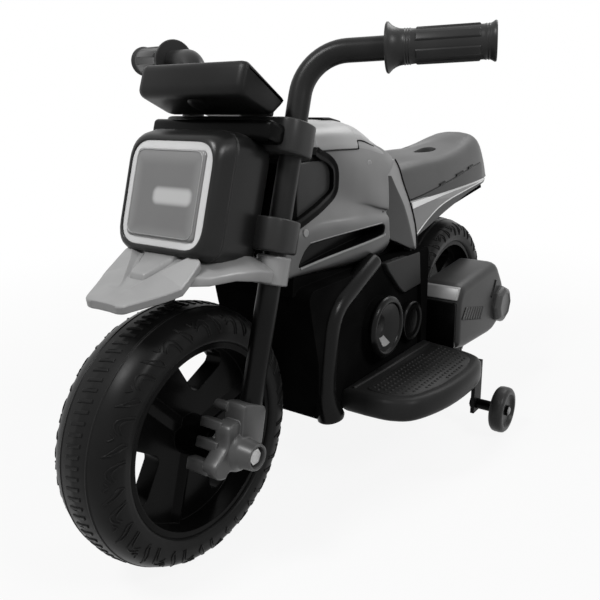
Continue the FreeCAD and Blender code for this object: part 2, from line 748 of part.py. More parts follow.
def make_fork_end():
    """Left fork end: tube socket, axle boss and dummy brake caliper."""
    plate = prism_x(fork_end_points(FORK_END_SHARES), FORK_END_IN, FORK_END_OUT, FORK_END_CORNER_R)
    socket_r = TUBE_R + FORK_SOCKET_WALL
    foot = Vector(LEG_HALF, -STEM_BACK, 0)
    socket = rod(foot, foot + Vector(0, 0, FORK_END_RISE), socket_r)
    boss = rod_x(AXLE_BOSS_R, FORK_END_OUT - OVERRUN, AXLE_BOSS_END, -STEM_OFFSET, 0)
    collar = rod_x(AXLE_COLLAR_R, FRONT_HUB_HALF + BUSH_FLANGE + SIDE_CLEAR, FORK_END_IN, -STEM_OFFSET, 0)
    pads = []
    half = PAD_SIZE / 2
    for y, w in fork_end_points(PAD_SHARES):
        pads.append(block((FORK_END_IN - PAD_REACH, FORK_END_IN), (y - half, y + half), (w - half, w + half)))
    peg_y, peg_w = fork_end_points([PEG_SHARES])[0]
    peg = rod_x(PEG_R, FORK_END_IN - PAD_REACH, FORK_END_IN + OVERRUN, peg_y, peg_w)
    body = fuse([plate, socket, boss, collar, peg] + pads)
    tube_foot = foot + Vector(0, 0, TUBE_FOOT)
    tube_bore = rod(tube_foot, tube_foot + Vector(0, 0, FORK_END_RISE), TUBE_R)
    axle_bore = rod_x(AXLE_R, 0, AXLE_BOSS_END + OVERRUN, -STEM_OFFSET, 0)
    recess = rod_x(AXLE_RECESS_R, AXLE_BOSS_END - AXLE_RECESS, AXLE_BOSS_END + OVERRUN, -STEM_OFFSET, 0)
    return placed(cut(body, [tube_bore, axle_bore, recess]), STEER)


def make_front_axle():
    """Front axle rod between the recesses of the fork ends."""
    end = AXLE_BOSS_END - AXLE_RECESS + AXLE_NUT
    return rod_x(AXLE_R, -end, end, FRONT_Y, AXLE_Z)


def make_front_nuts():
    """Pair of axle nuts in the recesses of the fork ends."""
    start = AXLE_BOSS_END - AXLE_RECESS
    nut = hex_x(AXLE_NUT_R, start, start + AXLE_NUT, FRONT_Y, AXLE_Z)
    nut = nut.cut(rod_x(AXLE_R, start - OVERRUN, start + AXLE_NUT + OVERRUN, FRONT_Y, AXLE_Z))
    return Part.makeCompound([nut, mirrored(nut)])


# Headlight

def lamp_outline(inset):
    """Rounded frame of the lamp (x, w), drawn in from its outer edge by a distance."""
    half = LAMP_HALF - inset
    rise = LAMP_HEIGHT / 2 - inset
    return [(-half, LAMP_MIDDLE - rise), (half, LAMP_MIDDLE - rise), (half, LAMP_MIDDLE + rise),
            (-half, LAMP_MIDDLE + rise)]


def lamp_prism(inset, front, back):
    """Rounded block of the lamp between two depths ahead of the stem."""
    return prism_y(lamp_outline(inset), -front, -back, LAMP_CORNER_R - inset)


LAMP_SEAM_AT = LAMP_FRONT - LAMP_SEAM
RING_FRONT = LAMP_FRONT - RING_SET_BACK
LENS_IN = LAMP_RIM + RING_WIDTH


def make_lamp_bezel():
    """Front part of the lamp shell, with the opening for ring and lens."""
    body = lamp_prism(0, LAMP_FRONT, LAMP_SEAM_AT)
    body = body.makeFillet(LAMP_EDGE_R, edges_in(body, 1, -LAMP_FRONT))
    hollow = lamp_prism(LAMP_RIM, LAMP_FRONT + OVERRUN, LAMP_SEAM_AT - OVERRUN)
    return placed(body.cut(hollow), STEER)


def make_lamp_housing():
    """Rear part of the lamp shell, which bolts to the yokes."""
    body = lamp_prism(0, LAMP_SEAM_AT, LAMP_BACK)
    return placed(body.cut(lamp_prism(LAMP_RIM, LAMP_SEAM_AT + OVERRUN, LAMP_BACK + WALL)), STEER)


def make_lamp_ring():
    """Pale ring round the lens."""
    back = RING_FRONT - RING_DEPTH
    body = lamp_prism(LAMP_RIM, RING_FRONT, back)
    return placed(body.cut(lamp_prism(LENS_IN, RING_FRONT + OVERRUN, back - OVERRUN)), STEER)


def make_lamp_lens():
    """Lens block that stands a little proud of its ring."""
    front = RING_FRONT + LENS_PROUD
    body = lamp_prism(LENS_IN, front, front - LENS_DEPTH)
    return placed(body.makeFillet(LENS_EDGE_R, edges_in(body, 1, -front)), STEER)


def make_led_board():
    """Board across the lamp shell with the light bar on it."""
    board = lamp_prism(LAMP_RIM, LAMP_SEAM_AT + LED_BOARD, LAMP_SEAM_AT)
    middle = LAMP_MIDDLE - LED_BAR_DROP
    bar = block((-LED_BAR_HALF, LED_BAR_HALF), (-LAMP_SEAM_AT - LED_BOARD - WALL, -LAMP_SEAM_AT - LED_BOARD),
                (middle - LED_BAR_HEIGHT / 2, middle + LED_BAR_HEIGHT / 2))
    return placed(fuse([board, bar]), STEER)


# Dash

DASH_PANEL_HALF = DASH_HALF - DASH_RIM
DASH_PANEL_REACH = DASH_LENGTH / 2 - DASH_RIM


def dash_x(share):
    """Place across the dash, as a share of its panel's half width."""
    return share * DASH_PANEL_HALF


def make_dash_case():
    """Dash body on its neck over the upper yoke, with a pocket for the switches."""
    reach = DASH_LENGTH / 2
    low, high = (share * DASH_LENGTH for share in DASH_UNDER_SHARES)
    outline = [(-reach, 0), (reach, 0), (high, -DASH_DEPTH), (low, -DASH_DEPTH)]
    body = prism_x(outline, -DASH_HALF, DASH_HALF, DASH_CORNER_R / 2)
    neck_low, neck_high = (YOKE_R / 2 - STEM_BACK + share * STEM_BACK for share in DASH_NECK_SHARES)
    neck = block((-DASH_NECK_HALF, DASH_NECK_HALF), (neck_low - YOKE_R, neck_high),
                 (YOKE_TOP, YOKE_TOP + DASH_HEIGHT - DASH_NECK_DROP))
    half = DASH_PANEL_HALF
    seat = block((-half, half), (-DASH_PANEL_REACH, DASH_PANEL_REACH), (-DASH_PANEL, OVERRUN))
    pocket_half = half - DASH_RIM
    first, last = (share * DASH_LENGTH for share in DASH_POCKET_SHARES)
    pocket = block((-pocket_half, pocket_half), (first, last), (-DASH_POCKET, OVERRUN))
    return fuse([placed(body, DASH), placed(neck, STEER)]).cut(placed(fuse([seat, pocket]), DASH))


def make_dash_panel():
    """Top plate of the dash with openings for its buttons and its rocker."""
    width = DASH_PANEL_HALF
    plate = block((-width, width), (-DASH_PANEL_REACH, DASH_PANEL_REACH), (-DASH_PANEL, 0))
    holes = []
    for share in BUTTON_PLACES_SHARES.values():
        foot = Vector(dash_x(share), 0, -DASH_PANEL - OVERRUN)
        holes.append(rod(foot, Vector(dash_x(share), 0, OVERRUN), BUTTON_R + BUTTON_GAP))
    middle = dash_x(ROCKER_PLACE_SHARE)
    half = ROCKER_WIDTH / 2 + ROCKER_GAP
    long = ROCKER_HALF + ROCKER_GAP
    holes.append(block((middle - half, middle + half), (-long, long), (-DASH_PANEL - OVERRUN, OVERRUN)))
    plate = cut(plate, holes)
    cheeks = []
    pin_holes = []
    drop = DASH_PANEL + ROCKER_DEPTH
    for side in (-1, 1):
        inner = middle + side * half
        outer = inner + side * ROCKER_CHEEK
        cheeks.append(block(sorted((inner, outer)), (-ROCKER_CHEEK, ROCKER_CHEEK), (-drop, -DASH_PANEL)))
        pin_holes.append(rod_x(ROCKER_PIN_R + RUN_CLEAR, inner - side * OVERRUN, outer + side * OVERRUN, 0,
                               -DASH_PANEL - ROCKER_DEPTH / 2))
    return placed(cut(fuse([plate] + cheeks), pin_holes), DASH)


def make_button(share):
    """Round dash button with a lip under the plate."""
    middle = dash_x(share)
    stem = rod(Vector(middle, 0, -DASH_PANEL - BUTTON_DEPTH), Vector(middle, 0, BUTTON_RISE), BUTTON_R)
    stem = stem.makeFillet(BUTTON_RISE / 3, edges_in(stem, 2, BUTTON_RISE))
    lip_top = -DASH_PANEL - BUTTON_GAP
    lip = rod(Vector(middle, 0, lip_top - BUTTON_LIP_DEPTH), Vector(middle, 0, lip_top), BUTTON_R + BUTTON_LIP)
    return placed(fuse([stem, lip]), DASH)


def make_rocker():
    """Forward and reverse rocker on its cross pin."""
    middle = dash_x(ROCKER_PLACE_SHARE)
    half = ROCKER_WIDTH / 2
    low = -DASH_PANEL - ROCKER_DEPTH * ROCKER_FOOT_SHARE
    foot = ROCKER_HALF * ROCKER_FOOT_SHARE
    outline = [(-foot, low), (foot, low), (ROCKER_HALF, 0), (ROCKER_HALF, ROCKER_RISE),
               (0, ROCKER_RISE / 2), (-ROCKER_HALF, ROCKER_RISE), (-ROCKER_HALF, 0)]
    body = prism_x(outline, middle - half, middle + half)
    reach = half + ROCKER_PIN_REACH
    pin = rod_x(ROCKER_PIN_R, middle - reach, middle + reach, 0, -DASH_PANEL - ROCKER_DEPTH / 2)
    return placed(fuse([body, pin]), DASH)


# Front mudguard

def guard_section(reach_share, half_share, fall_share):
    """Roof-shaped section of the mudguard (x, y, w) at one place along it."""
    y = -GUARD_REAR - reach_share * GUARD_LENGTH
    half = half_share * GUARD_HALF
    tongue = min(GUARD_TONGUE_HALF, half * GUARD_TONGUE_HALF / GUARD_HALF / GUARD_STATION_SHARES[2][1])
    top = GUARD_TOP - fall_share * GUARD_FALL
    edge = top - GUARD_SIDE_DROP
    upper = [(-half, edge), (-tongue, top), (tongue, top), (half, edge)]
    lower = [(x, w - GUARD_SKIN) for x, w in reversed(upper)]
    return [Vector(x, y, w) for x, w in upper + lower]


def guard_arm_section(y, inner, outer, top):
    """Box section of a mudguard arm."""
    low = top - GUARD_ARM_THICK
    return [Vector(inner, y, low), Vector(outer, y, low), Vector(outer, y, top), Vector(inner, y, top)]


def make_mudguard():
    """Mudguard: roof plate, two arms and the collars round the legs."""
    roof = loft([guard_section(*row) for row in GUARD_STATION_SHARES])
    collar_r = TUBE_R + GUARD_COLLAR_WALL
    rear_half = GUARD_STATION_SHARES[0][1] * GUARD_HALF
    start = guard_arm_section(-GUARD_REAR - OVERRUN, GUARD_ARM_IN, rear_half, GUARD_TOP - GUARD_SIDE_DROP / 2)
    arm_top = GUARD_COLLAR_HIGH - GUARD_ARM_DROP
    finish = guard_arm_section(-STEM_BACK, LEG_HALF - TUBE_R, LEG_HALF + TUBE_R, arm_top)
    arm = loft([start, finish])
    high = Vector(LEG_HALF, -STEM_BACK, GUARD_COLLAR_HIGH)
    low = high - Vector(0, 0, GUARD_COLLAR)
    collar = rod(low, high, collar_r)
    bore = rod(low - Vector(0, 0, OVERRUN), high + Vector(0, 0, OVERRUN), TUBE_R)
    side = fuse([arm, collar]).cut(bore)
    return placed(fuse([roof, side, mirrored(side)]), STEER)


# Hull

def engine_outline():
    """Side outline of the engine block."""
    return [(HULL_FRONT, BODY_BASE), (HULL_REAR, BODY_BASE), (HULL_REAR, ENGINE_TOP),
            (HULL_FRONT - ENGINE_LEAN, ENGINE_TOP), (HULL_FRONT, AXLE_Z + HULL_DROP)]


def spine_outline():
    """Side outline of the spine, from the head tube to the tail."""
    head = [(HULL_FRONT - ENGINE_LEAN, ENGINE_TOP - SPINE_FOOT), fork_point(HEAD_ROOM, HEAD_LOW),
            fork_point(0, HEAD_LOW), fork_point(0, HEAD_HIGH), fork_point(HEAD_ROOM, HEAD_HIGH)]
    return head + side_points(SPINE_BACK_SHARES)


def shell_x(outline, half, radius=0.0):
    """Left half of a hollow box: a side outline with walls, open at the middle plane."""
    outer = prism_x(outline, 0, half, radius)
    face = Part.Face(rounded_wire([Vector(-OVERRUN, y, z) for y, z in outline], radius))
    inner = upright(face.makeOffset2D(-WALL).extrude(Vector(half - WALL + OVERRUN, 0, 0)))
    return outer, inner


def arm_points():
    """Side outline of a rear arm, in shares of its reach and of its head about the axle."""
    return [(REAR_Y + s * ARM_REACH, AXLE_Z + t * ARM_HEAD) for s, t in ARM_SHARES]


def make_frame_tube():
    """Bent tube relief on the side of the engine."""
    x = ENGINE_HALF - FRAME_TUBE_SINK
    first, corner, last = [Vector(x, y, z) for y, z in side_points(FRAME_TUBE_SHARES)]
    back = (first - corner).normalize()
    ahead = (last - corner).normalize()
    half = back.getAngle(ahead) / 2
    reach = FRAME_TUBE_BEND_R / math.tan(half)
    middle = corner + (back + ahead).normalize() * (FRAME_TUBE_BEND_R / math.sin(half) - FRAME_TUBE_BEND_R)
    start, finish = corner + back * reach, corner + ahead * reach
    path = Part.Wire([Part.LineSegment(first, start).toShape(), Part.Arc(start, middle, finish).toShape(),
                      Part.LineSegment(finish, last).toShape()])
    ring = Part.Wire(Part.makeCircle(FRAME_TUBE_R, first, corner - first))
    return upright(path.makePipeShell([ring], True, False))


def make_horn():
    """Round funnel relief on the engine, and the cone that hollows it."""
    y, z = along(HORN_SHARES[0]), level(HORN_SHARES[1])
    top = ENGINE_HALF + HORN_RISE
    ring = rod_x(HORN_R, ENGINE_HALF - OVERRUN, top, y, z)
    floor = Vector(ENGINE_HALF + HORN_FLOOR, y, z)
    cone = Part.makeCone(HORN_THROAT_R, HORN_R - HORN_LIP, HORN_RISE - HORN_FLOOR, floor, X_AXIS)
    return ring.cut(cone)


def make_disc():
    """Round cover relief on the engine with its shallow dish."""
    y, z = along(DISC_SHARES[0]), level(DISC_SHARES[1])
    top = ENGINE_HALF + DISC_RISE
    disc = rod_x(DISC_R, ENGINE_HALF - OVERRUN, top, y, z)
    return disc.cut(rod_x(DISC_DISH_R, top - DISC_DISH, top + OVERRUN, y, z))


def make_hull():
    """Left hull half: hollow engine block and spine, head tube half, rear arm and reliefs."""
    engine, engine_room = shell_x(engine_outline(), ENGINE_HALF, ENGINE_CORNER_R)
    spine, spine_room = shell_x(spine_outline(), SPINE_HALF)
    arm = prism_x(arm_points(), ARM_IN, ARM_OUT, ARM_CORNER_R)
    column = prism_x(side_points(COLUMN_SHARES), ENGINE_HALF - OVERRUN, ENGINE_HALF + COLUMN_RISE)
    tube = placed(rod(Vector(0, 0, HEAD_LOW), Vector(0, 0, HEAD_HIGH), HEAD_TUBE_R), STEER)
    shell = cut(fuse([engine, spine]), [engine_room, spine_room])
    shell = fuse([shell, tube, arm, column, make_frame_tube(), make_horn(), make_disc()])
    bore = placed(rod(Vector(0, 0, HEAD_LOW - OVERRUN), Vector(0, 0, HEAD_HIGH + OVERRUN), HEAD_BUSH_R), STEER)
    far_half = block((-BODY_HALF, 0), (FRONT_Y, REAR_Y), (0, shell.BoundBox.ZMax))
    axle = rod_x(REAR_AXLE_R, 0, ARM_OUT + OVERRUN, REAR_Y, AXLE_Z)
    arch = rod_x(WHEEL_R + ARCH_CLEAR, 0, TYRE_HALF + ARCH_CLEAR, REAR_Y, AXLE_Z)
    return cut(shell, [bore, far_half, axle, arch] + screw_shanks())


# Tank

def deck_level(y):
    """Height of the spine's top under the tank at a place along the bike."""
    start, end = side_points(SPINE_BACK_SHARES[:2])
    return start[1] + (end[1] - start[1]) * (y - start[0]) / (end[0] - start[0])


def make_deck():
    """Flat top of the tank, on the spine."""
    front, rear = (along(share) for share in DECK_SHARES)
    outline = [(front, deck_level(front)), (rear, deck_level(rear)), (rear, deck_level(rear) + DECK_THICK),
               (front, deck_level(front) + DECK_THICK)]
    return prism_x(outline, -SPINE_HALF, SPINE_HALF)


def cover_section(station, inset, sink):
    """Arched section of the tank cover, drawn in by a wall and let down past its foot."""
    share, shares = station
    y = along(share)
    foot = deck_level(y) + DECK_THICK
    points = []
    for x_share, rise_share in shares:
        rise = rise_share * BODY_HEIGHT
        x = max(across(x_share) - inset, 0)
        points.append((x, foot - sink if rise == 0 else foot + max(rise - inset, 0)))
    right = [Vector(x, y, z) for x, z in points]
    left = [Vector(-p.x, p.y, p.z) for p in reversed(right[:-1])]
    return right + left


def make_cover():
    """Arched tank cover, hollow underneath."""
    outer = loft([cover_section(station, 0, 0) for station in COVER_STATION_SHARES])
    inner = loft([cover_section(station, WALL, OVERRUN) for station in COVER_STATION_SHARES[:-1]])
    front = along(COVER_STATION_SHARES[0][0])
    lip = block((-BODY_HALF, BODY_HALF), (front - OVERRUN, front + WALL), (0, BODY_BASE + BODY_HEIGHT * 2))
    return fuse([outer.cut(inner.cut(lip)), cap_strip()])


def cap_strip():
    """Filler cap strip along the ridge of the tank cover, down to half the cover's wall."""
    front, rear = (along(share) for share in CAP_SHARES)
    plan = [(-CAP_HALF, front), (CAP_HALF, front), (CAP_HALF, rear), (-CAP_HALF, rear)]
    ridge = max(rise for _, shares in COVER_STATION_SHARES for _, rise in shares) * BODY_HEIGHT
    top = deck_level(front) + DECK_THICK + ridge
    strip = prism_z(plan, top - ridge, top + CAP_RISE, CAP_CORNER_R)
    return strip.cut(loft([cover_section(station, WALL / 2, ridge) for station in COVER_STATION_SHARES]))


# Side panels, knee plates and tail panels

def panel_section(station, inset, back):
    """Section of a side panel, from its sculpted face to its flat back."""
    share, shares = station
    y = along(share)
    face = [(across(x) - inset, level(z)) for x, z in shares]
    face[0] = (face[0][0], face[0][1] + inset)
    face[-1] = (face[-1][0], face[-1][1] - inset)
    return [Vector(x, y, z) for x, z in face + [(back, face[-1][1]), (back, face[0][1])]]


def rear_side_outline():
    """Side region behind the side panel, which the knee plate and the tail panel fill."""
    top, corner, foot = side_points(SEAM_SHARES)
    far = along(PANEL_STATION_SHARES[-1][0]) + WALL
    high = BODY_BASE + BODY_HEIGHT
    return [(top[0], high), top, corner, foot, (foot[0], BODY_BASE), (far, BODY_BASE), (far, high)]


def screw_places():
    """Places (x, y, z) of the screw heads on the left side panel."""
    return [(SPINE_HALF + SCREW_HEAD_R * 2, y, z) for y, z in side_points(SCREW_SHARES)]


def screw_shanks():
    """Holes for the screws of the left side panel."""
    return [rod_x(SCREW_R, x - SCREW_LENGTH, x, y, z) for x, y, z in screw_places()]


def screw_sinks():
    """Counterbores for the screw heads, open to the outside."""
    return [rod_x(SCREW_HEAD_R, x, BODY_HALF + OVERRUN, y, z) for x, y, z in screw_places()]


def make_side_panel():
    """Left side panel with its window edge, intake slot and screw holes."""
    outer = loft([panel_section(station, 0, SPINE_HALF) for station in PANEL_STATION_SHARES])
    window = prism_x(side_points(WINDOW_SHARES), 0, BODY_HALF + OVERRUN, WINDOW_CORNER_R)
    rear = prism_x(rear_side_outline(), 0, BODY_HALF + OVERRUN)
    depth = SPINE_HALF + (BODY_HALF - SPINE_HALF) * (1 - SLOT_DEPTH_SHARE)
    slot = prism_x(side_points(SLOT_SHARES), depth, BODY_HALF + OVERRUN, SLOT_CORNER_R)
    return cut(outer, [window, rear, slot] + screw_shanks() + screw_sinks())


def knee_outline():
    """Side outline of the knee plate, between the side panel and the tail panel."""
    _, corner, foot = side_points(SEAM_SHARES)
    return [corner] + side_points(KNEE_FOOT_SHARES) + [foot]


def make_knee_plate():
    """Left knee plate."""
    return prism_x(knee_outline(), SPINE_HALF, KNEE_HALF)


def tail_wedge(inset):
    """Plan wedge that tapers the tail panels towards the rear."""
    front = along(SEAM_SHARES[1][0])
    rear = along(TAIL_SHARES[0][0])
    start, end = front - OVERRUN, rear + OVERRUN
    plan = [(0, start), (TAIL_FRONT_HALF - inset, start), (TAIL_REAR_HALF - inset, end), (0, end)]
    return prism_z(plan, 0, BODY_BASE + BODY_HEIGHT)


def make_tail_panel():
    """Left tail panel under the seat's edge, hollow at its back."""
    top, corner, _ = side_points(SEAM_SHARES)
    knee_rear = side_points(KNEE_FOOT_SHARES)[0]
    outline = [corner, top] + side_points(SPINE_BACK_SHARES[2:4] + TAIL_SHARES) + [knee_rear]
    body = prism_x(outline, SPINE_HALF, BODY_HALF).common(tail_wedge(0))
    face = Part.Face(rounded_wire([Vector(SPINE_HALF - OVERRUN, y, z) for y, z in outline]))
    room = upright(face.makeOffset2D(-WALL).extrude(Vector(BODY_HALF - SPINE_HALF, 0, 0)))
    return body.cut(room.common(tail_wedge(WALL)))


# Seat

def seat_foot(y):
    """Height of the seat's lower edge, along the top of the tail panels."""
    start, end = side_points((SPINE_BACK_SHARES[3], TAIL_SHARES[0]))
    return start[1] + (end[1] - start[1]) * (y - start[0]) / (end[0] - start[0])


def seat_section(index, inset, sink):
    """Section of the seat, drawn in by a wall and let down past its foot."""
    share, shares = SEAT_STATION_SHARES[index]
    y = along(share)
    right = [Vector(across(SEAT_FOOT_SHARES[index]) - inset, y, seat_foot(y) - sink)]
    right += [Vector(max(across(x) - inset, 0), y, level(z) - inset) for x, z in shares]
    left = [Vector(-p.x, p.y, p.z) for p in reversed(right[:-1])]
    return right + left


def make_seat():
    """Moulded seat, hollow underneath, cut to its slanted front."""
    count = len(SEAT_STATION_SHARES)
    outer = loft([seat_section(index, 0, 0) for index in range(count)])
    inner = loft([seat_section(index, SEAT_WALL, OVERRUN) for index in range(count - 1)])
    front = side_points(SPINE_BACK_SHARES[1:4])
    start = along(SEAT_STATION_SHARES[0][0]) - OVERRUN
    high = BODY_BASE + BODY_HEIGHT
    ahead = [(start, high), (front[0][0], high)] + front + [(front[-1][0], BODY_BASE), (start, BODY_BASE)]
    nose = prism_x(ahead, -BODY_HALF, BODY_HALF)
    wall = prism_x([(y + SEAT_WALL, z) for y, z in ahead], -BODY_HALF, BODY_HALF)
    return outer.cut(nose).cut(inner.cut(wall))


# Foot steps and pedal

def step_points(inset):
    """Plan outline of the left step, in shares of its reach and of its half length."""
    points = []
    for s, t in STEP_SHARES:
        x = ENGINE_HALF + inset + s * (STEP_REACH - inset * 2)
        points.append((x, STEP_MIDDLE + t * (STEP_HALF_LENGTH - inset)))
    return points


def make_step(side):
    """Foot step as a closed hollow moulding against the engine block."""
    top = BODY_BASE + STEP_TOP
    plan = step_points(0)
    body = prism_z(plan, BODY_BASE, top)
    outer = [edge for edge in edges_in(body, 2, top) if edge.BoundBox.XMax > ENGINE_HALF + NEAR]
    body = body.makeFillet(STEP_EDGE_R, [edge for edge in outer if edge.BoundBox.XMin > ENGINE_HALF + NEAR])
    room = prism_z(step_points(STEP_WALL * 2), BODY_BASE + STEP_WALL, top - STEP_WALL)
    relief = fuse([make_frame_tube(), make_disc(), prism_x(side_points(COLUMN_SHARES), ENGINE_HALF - OVERRUN,
                                                            ENGINE_HALF + COLUMN_RISE)])
    step = body.cut(room).cut(relief)
    if side > 0:
        return step
    return add_pedal_ears(mirrored(step))


PEDAL_X = -ENGINE_HALF - PEDAL_PLACE_SHARE * STEP_REACH
PEDAL_Y = STEP_MIDDLE + PEDAL_HEEL_SHARE * STEP_HALF_LENGTH
PEDAL_Z = BODY_BASE + STEP_TOP + PEDAL_BARREL_R + SIDE_CLEAR


def pedal_ear_spans():
    """Spans across the bike of the two ears that hold the pedal pin."""
    inner = PEDAL_HALF + SIDE_CLEAR
    return [(PEDAL_X - inner - PEDAL_EAR, PEDAL_X - inner), (PEDAL_X + inner, PEDAL_X + inner + PEDAL_EAR)]


def add_pedal_ears(step):
    """Right step with the ears and the pin of the pedal."""
    foot = BODY_BASE + STEP_TOP - STEP_WALL / 2
    ears = []
    for span in pedal_ear_spans():
        post = block(span, (PEDAL_Y - PEDAL_BARREL_R, PEDAL_Y + PEDAL_BARREL_R), (foot, PEDAL_Z))
        ears.append(fuse([post, rod_x(PEDAL_BARREL_R, span[0], span[1], PEDAL_Y, PEDAL_Z)]))
    reach = PEDAL_HALF + SIDE_CLEAR + PEDAL_EAR
    pin = rod_x(PEDAL_PIN_R, PEDAL_X - reach, PEDAL_X + reach, PEDAL_Y, PEDAL_Z)
    return fuse([step, pin] + ears)


def make_pedal():
    """Accelerator pedal, raised at its toe, with a barrel for the pin."""
    barrel = rod_x(PEDAL_BARREL_R, PEDAL_X - PEDAL_HALF, PEDAL_X + PEDAL_HALF, PEDAL_Y, PEDAL_Z)
    plan = [(PEDAL_X - PEDAL_HALF, PEDAL_Y), (PEDAL_X + PEDAL_HALF, PEDAL_Y),
            (PEDAL_X + PEDAL_HALF, PEDAL_Y - PEDAL_LENGTH), (PEDAL_X - PEDAL_HALF, PEDAL_Y - PEDAL_LENGTH)]
    top = PEDAL_Z + PEDAL_BARREL_R
    plate = prism_z(plan, top - PEDAL_THICK, top, PEDAL_EDGE_R)
    heel = block((PEDAL_X - PEDAL_HALF, PEDAL_X + PEDAL_HALF), (PEDAL_Y - PEDAL_EDGE_R * 2, PEDAL_Y),
                 (top - PEDAL_THICK, top))
    plate = fuse([plate, heel])
    plate.rotate(Vector(PEDAL_X, PEDAL_Y, PEDAL_Z), X_AXIS, -PEDAL_LIFT)
    reach = PEDAL_HALF + OVERRUN
    bore = rod_x(PEDAL_PIN_R + RUN_CLEAR, PEDAL_X - reach, PEDAL_X + reach, PEDAL_Y, PEDAL_Z)
    return fuse([barrel, plate]).cut(bore)


# Exhaust boxes, rear axle and its caps

def make_exhaust_box():
    """Left exhaust box, a shell on the rear arm."""
    outline = [(along(s), BODY_BASE + t * BOX_HEIGHT) for s, t in BOX_SHARES]
    body = prism_x(outline, BOX_IN, BOX_HALF)
    body = body.makeChamfer(BOX_EDGE, edges_in(body, 0, BOX_HALF))
    face = Part.Face(rounded_wire([Vector(BOX_IN - OVERRUN, y, z) for y, z in outline]))
    depth = BOX_HALF - BOX_EDGE - BOX_IN
    room = upright(face.makeOffset2D(-WALL).extrude(Vector(depth, 0, 0)))
    axle = rod_x(REAR_AXLE_R, BOX_IN - OVERRUN, BOX_HALF + OVERRUN, REAR_Y, AXLE_Z)
    engine = block((0, ENGINE_HALF), (HULL_FRONT, HULL_REAR), (BODY_BASE, ENGINE_TOP))
    return cut(body, [room, axle, engine])


def make_rear_axle():
    """Rear axle rod between the caps."""
    end = BOX_HALF + REAR_AXLE_HOLD
    return rod_x(REAR_AXLE_R, -end, end, REAR_Y, AXLE_Z)


def make_axle_caps():
    """Pair of faceted caps on the ends of the rear axle."""
    outer = BOX_HALF + AXLE_CAP
    body = hex_x(AXLE_CAP_R, BOX_HALF, outer, REAR_Y, AXLE_Z, AXLE_CAP_SIDES)
    body = body.makeChamfer(AXLE_CAP_EDGE, edges_in(body, 0, outer))
    cap = body.cut(rod_x(REAR_AXLE_R, BOX_HALF - OVERRUN, BOX_HALF + REAR_AXLE_HOLD, REAR_Y, AXLE_Z))
    return Part.makeCompound([cap, mirrored(cap)])


# Drive gears

def involute(angle):
    """Involute function of a pressure angle."""
    return math.tan(angle) - angle


def gear_outline(teeth, turn):
    """Side outline of a spur gear about the origin, with a tooth at the given turn in degrees."""
    pitch_r = GEAR_MODULE * teeth / 2
    pressure = math.radians(PRESSURE_ANGLE)
    base_r = pitch_r * math.cos(pressure)
    tip_r = pitch_r + TIP_SHARE * GEAR_MODULE
    root_r = pitch_r - ROOT_SHARE * GEAR_MODULE
    half_pitch = (math.pi * GEAR_MODULE / 2 - BACKLASH) / 2 / pitch_r
    start_r = max(base_r, root_r)
    flank = [(root_r, half_pitch + involute(pressure) - involute(math.acos(base_r / start_r)))]
    for step in range(FLANK_STEPS + 1):
        radius = start_r + (tip_r - start_r) * step / FLANK_STEPS
        at = math.acos(min(base_r / radius, 1.0))
        flank.append((radius, half_pitch + involute(pressure) - involute(at)))
    if flank[0] == flank[1]:
        flank.pop(0)
    points = []
    for tooth in range(teeth):
        middle = math.radians(turn) + 2 * math.pi * tooth / teeth
        sides = [(r, middle - a) for r, a in flank] + [(r, middle + a) for r, a in reversed(flank)]
        points.extend((r * math.cos(a), r * math.sin(a)) for r, a in sides)
    return points


def make_gear(teeth, turn, start, end, y, z):
    """Spur gear across the bike."""
    return prism_x([(y + a, z + b) for a, b in gear_outline(teeth, turn)], start, end)


def mesh_distance(first, second):
    """Distance between the centres of two meshing gears."""
    return GEAR_MODULE * (first + second) / 2


IDLER_Y = REAR_Y + mesh_distance(RING_TEETH, PINION_TEETH) * math.cos(math.radians(IDLER_HEADING))
IDLER_Z = AXLE_Z + mesh_distance(RING_TEETH, PINION_TEETH) * math.sin(math.radians(IDLER_HEADING))
MOTOR_Y = IDLER_Y + mesh_distance(IDLER_TEETH, PINION_TEETH) * math.cos(math.radians(MOTOR_HEADING))
MOTOR_Z = IDLER_Z + mesh_distance(IDLER_TEETH, PINION_TEETH) * math.sin(math.radians(MOTOR_HEADING))
RING_FACE = -WEB_HALF - RING_GEAR
LAYER_START = RING_FACE - GEAR_SPACE
LAYER_END = LAYER_START - GEAR_WIDTH
PINION_HALF_TOOTH = 180.0 / PINION_TEETH


def make_ring_gear():
    """Ring gear on the right face of the rear web."""
    ring = make_gear(RING_TEETH, IDLER_HEADING, -WEB_HALF, RING_FACE, REAR_Y, AXLE_Z)
    return ring.cut(rod_x(RING_GEAR_IN_R, 0, RING_FACE - OVERRUN, REAR_Y, AXLE_Z))


def ring_gear_room():
    """Space cleared on the rear rim for the ring gear, about X at the origin."""
    outer = GEAR_MODULE * (RING_TEETH / 2 + TIP_SHARE) + GEAR_SPACE
    start, end = -WEB_HALF, -RIM_HALF - OVERRUN
    core = rod_x(RING_GEAR_IN_R - SIDE_CLEAR, start + OVERRUN, end - OVERRUN, 0, 0)
    return rod_x(outer, start, end, 0, 0).cut(core)


def make_idler():
    """Compound idler: small gear on the ring gear, large gear on the motor pinion."""
    inner = -WEB_HALF - RIB_RISE - GEAR_SPACE
    small_turn = IDLER_HEADING + 180.0 + PINION_HALF_TOOTH
    small = make_gear(PINION_TEETH, small_turn, inner, LAYER_START, IDLER_Y, IDLER_Z)
    large = make_gear(IDLER_TEETH, MOTOR_HEADING, LAYER_START, LAYER_END, IDLER_Y, IDLER_Z)
    bore = rod_x(IDLER_PIN_R + RUN_CLEAR, inner + OVERRUN, LAYER_END - OVERRUN, IDLER_Y, IDLER_Z)
    return fuse([small, large]).cut(bore)


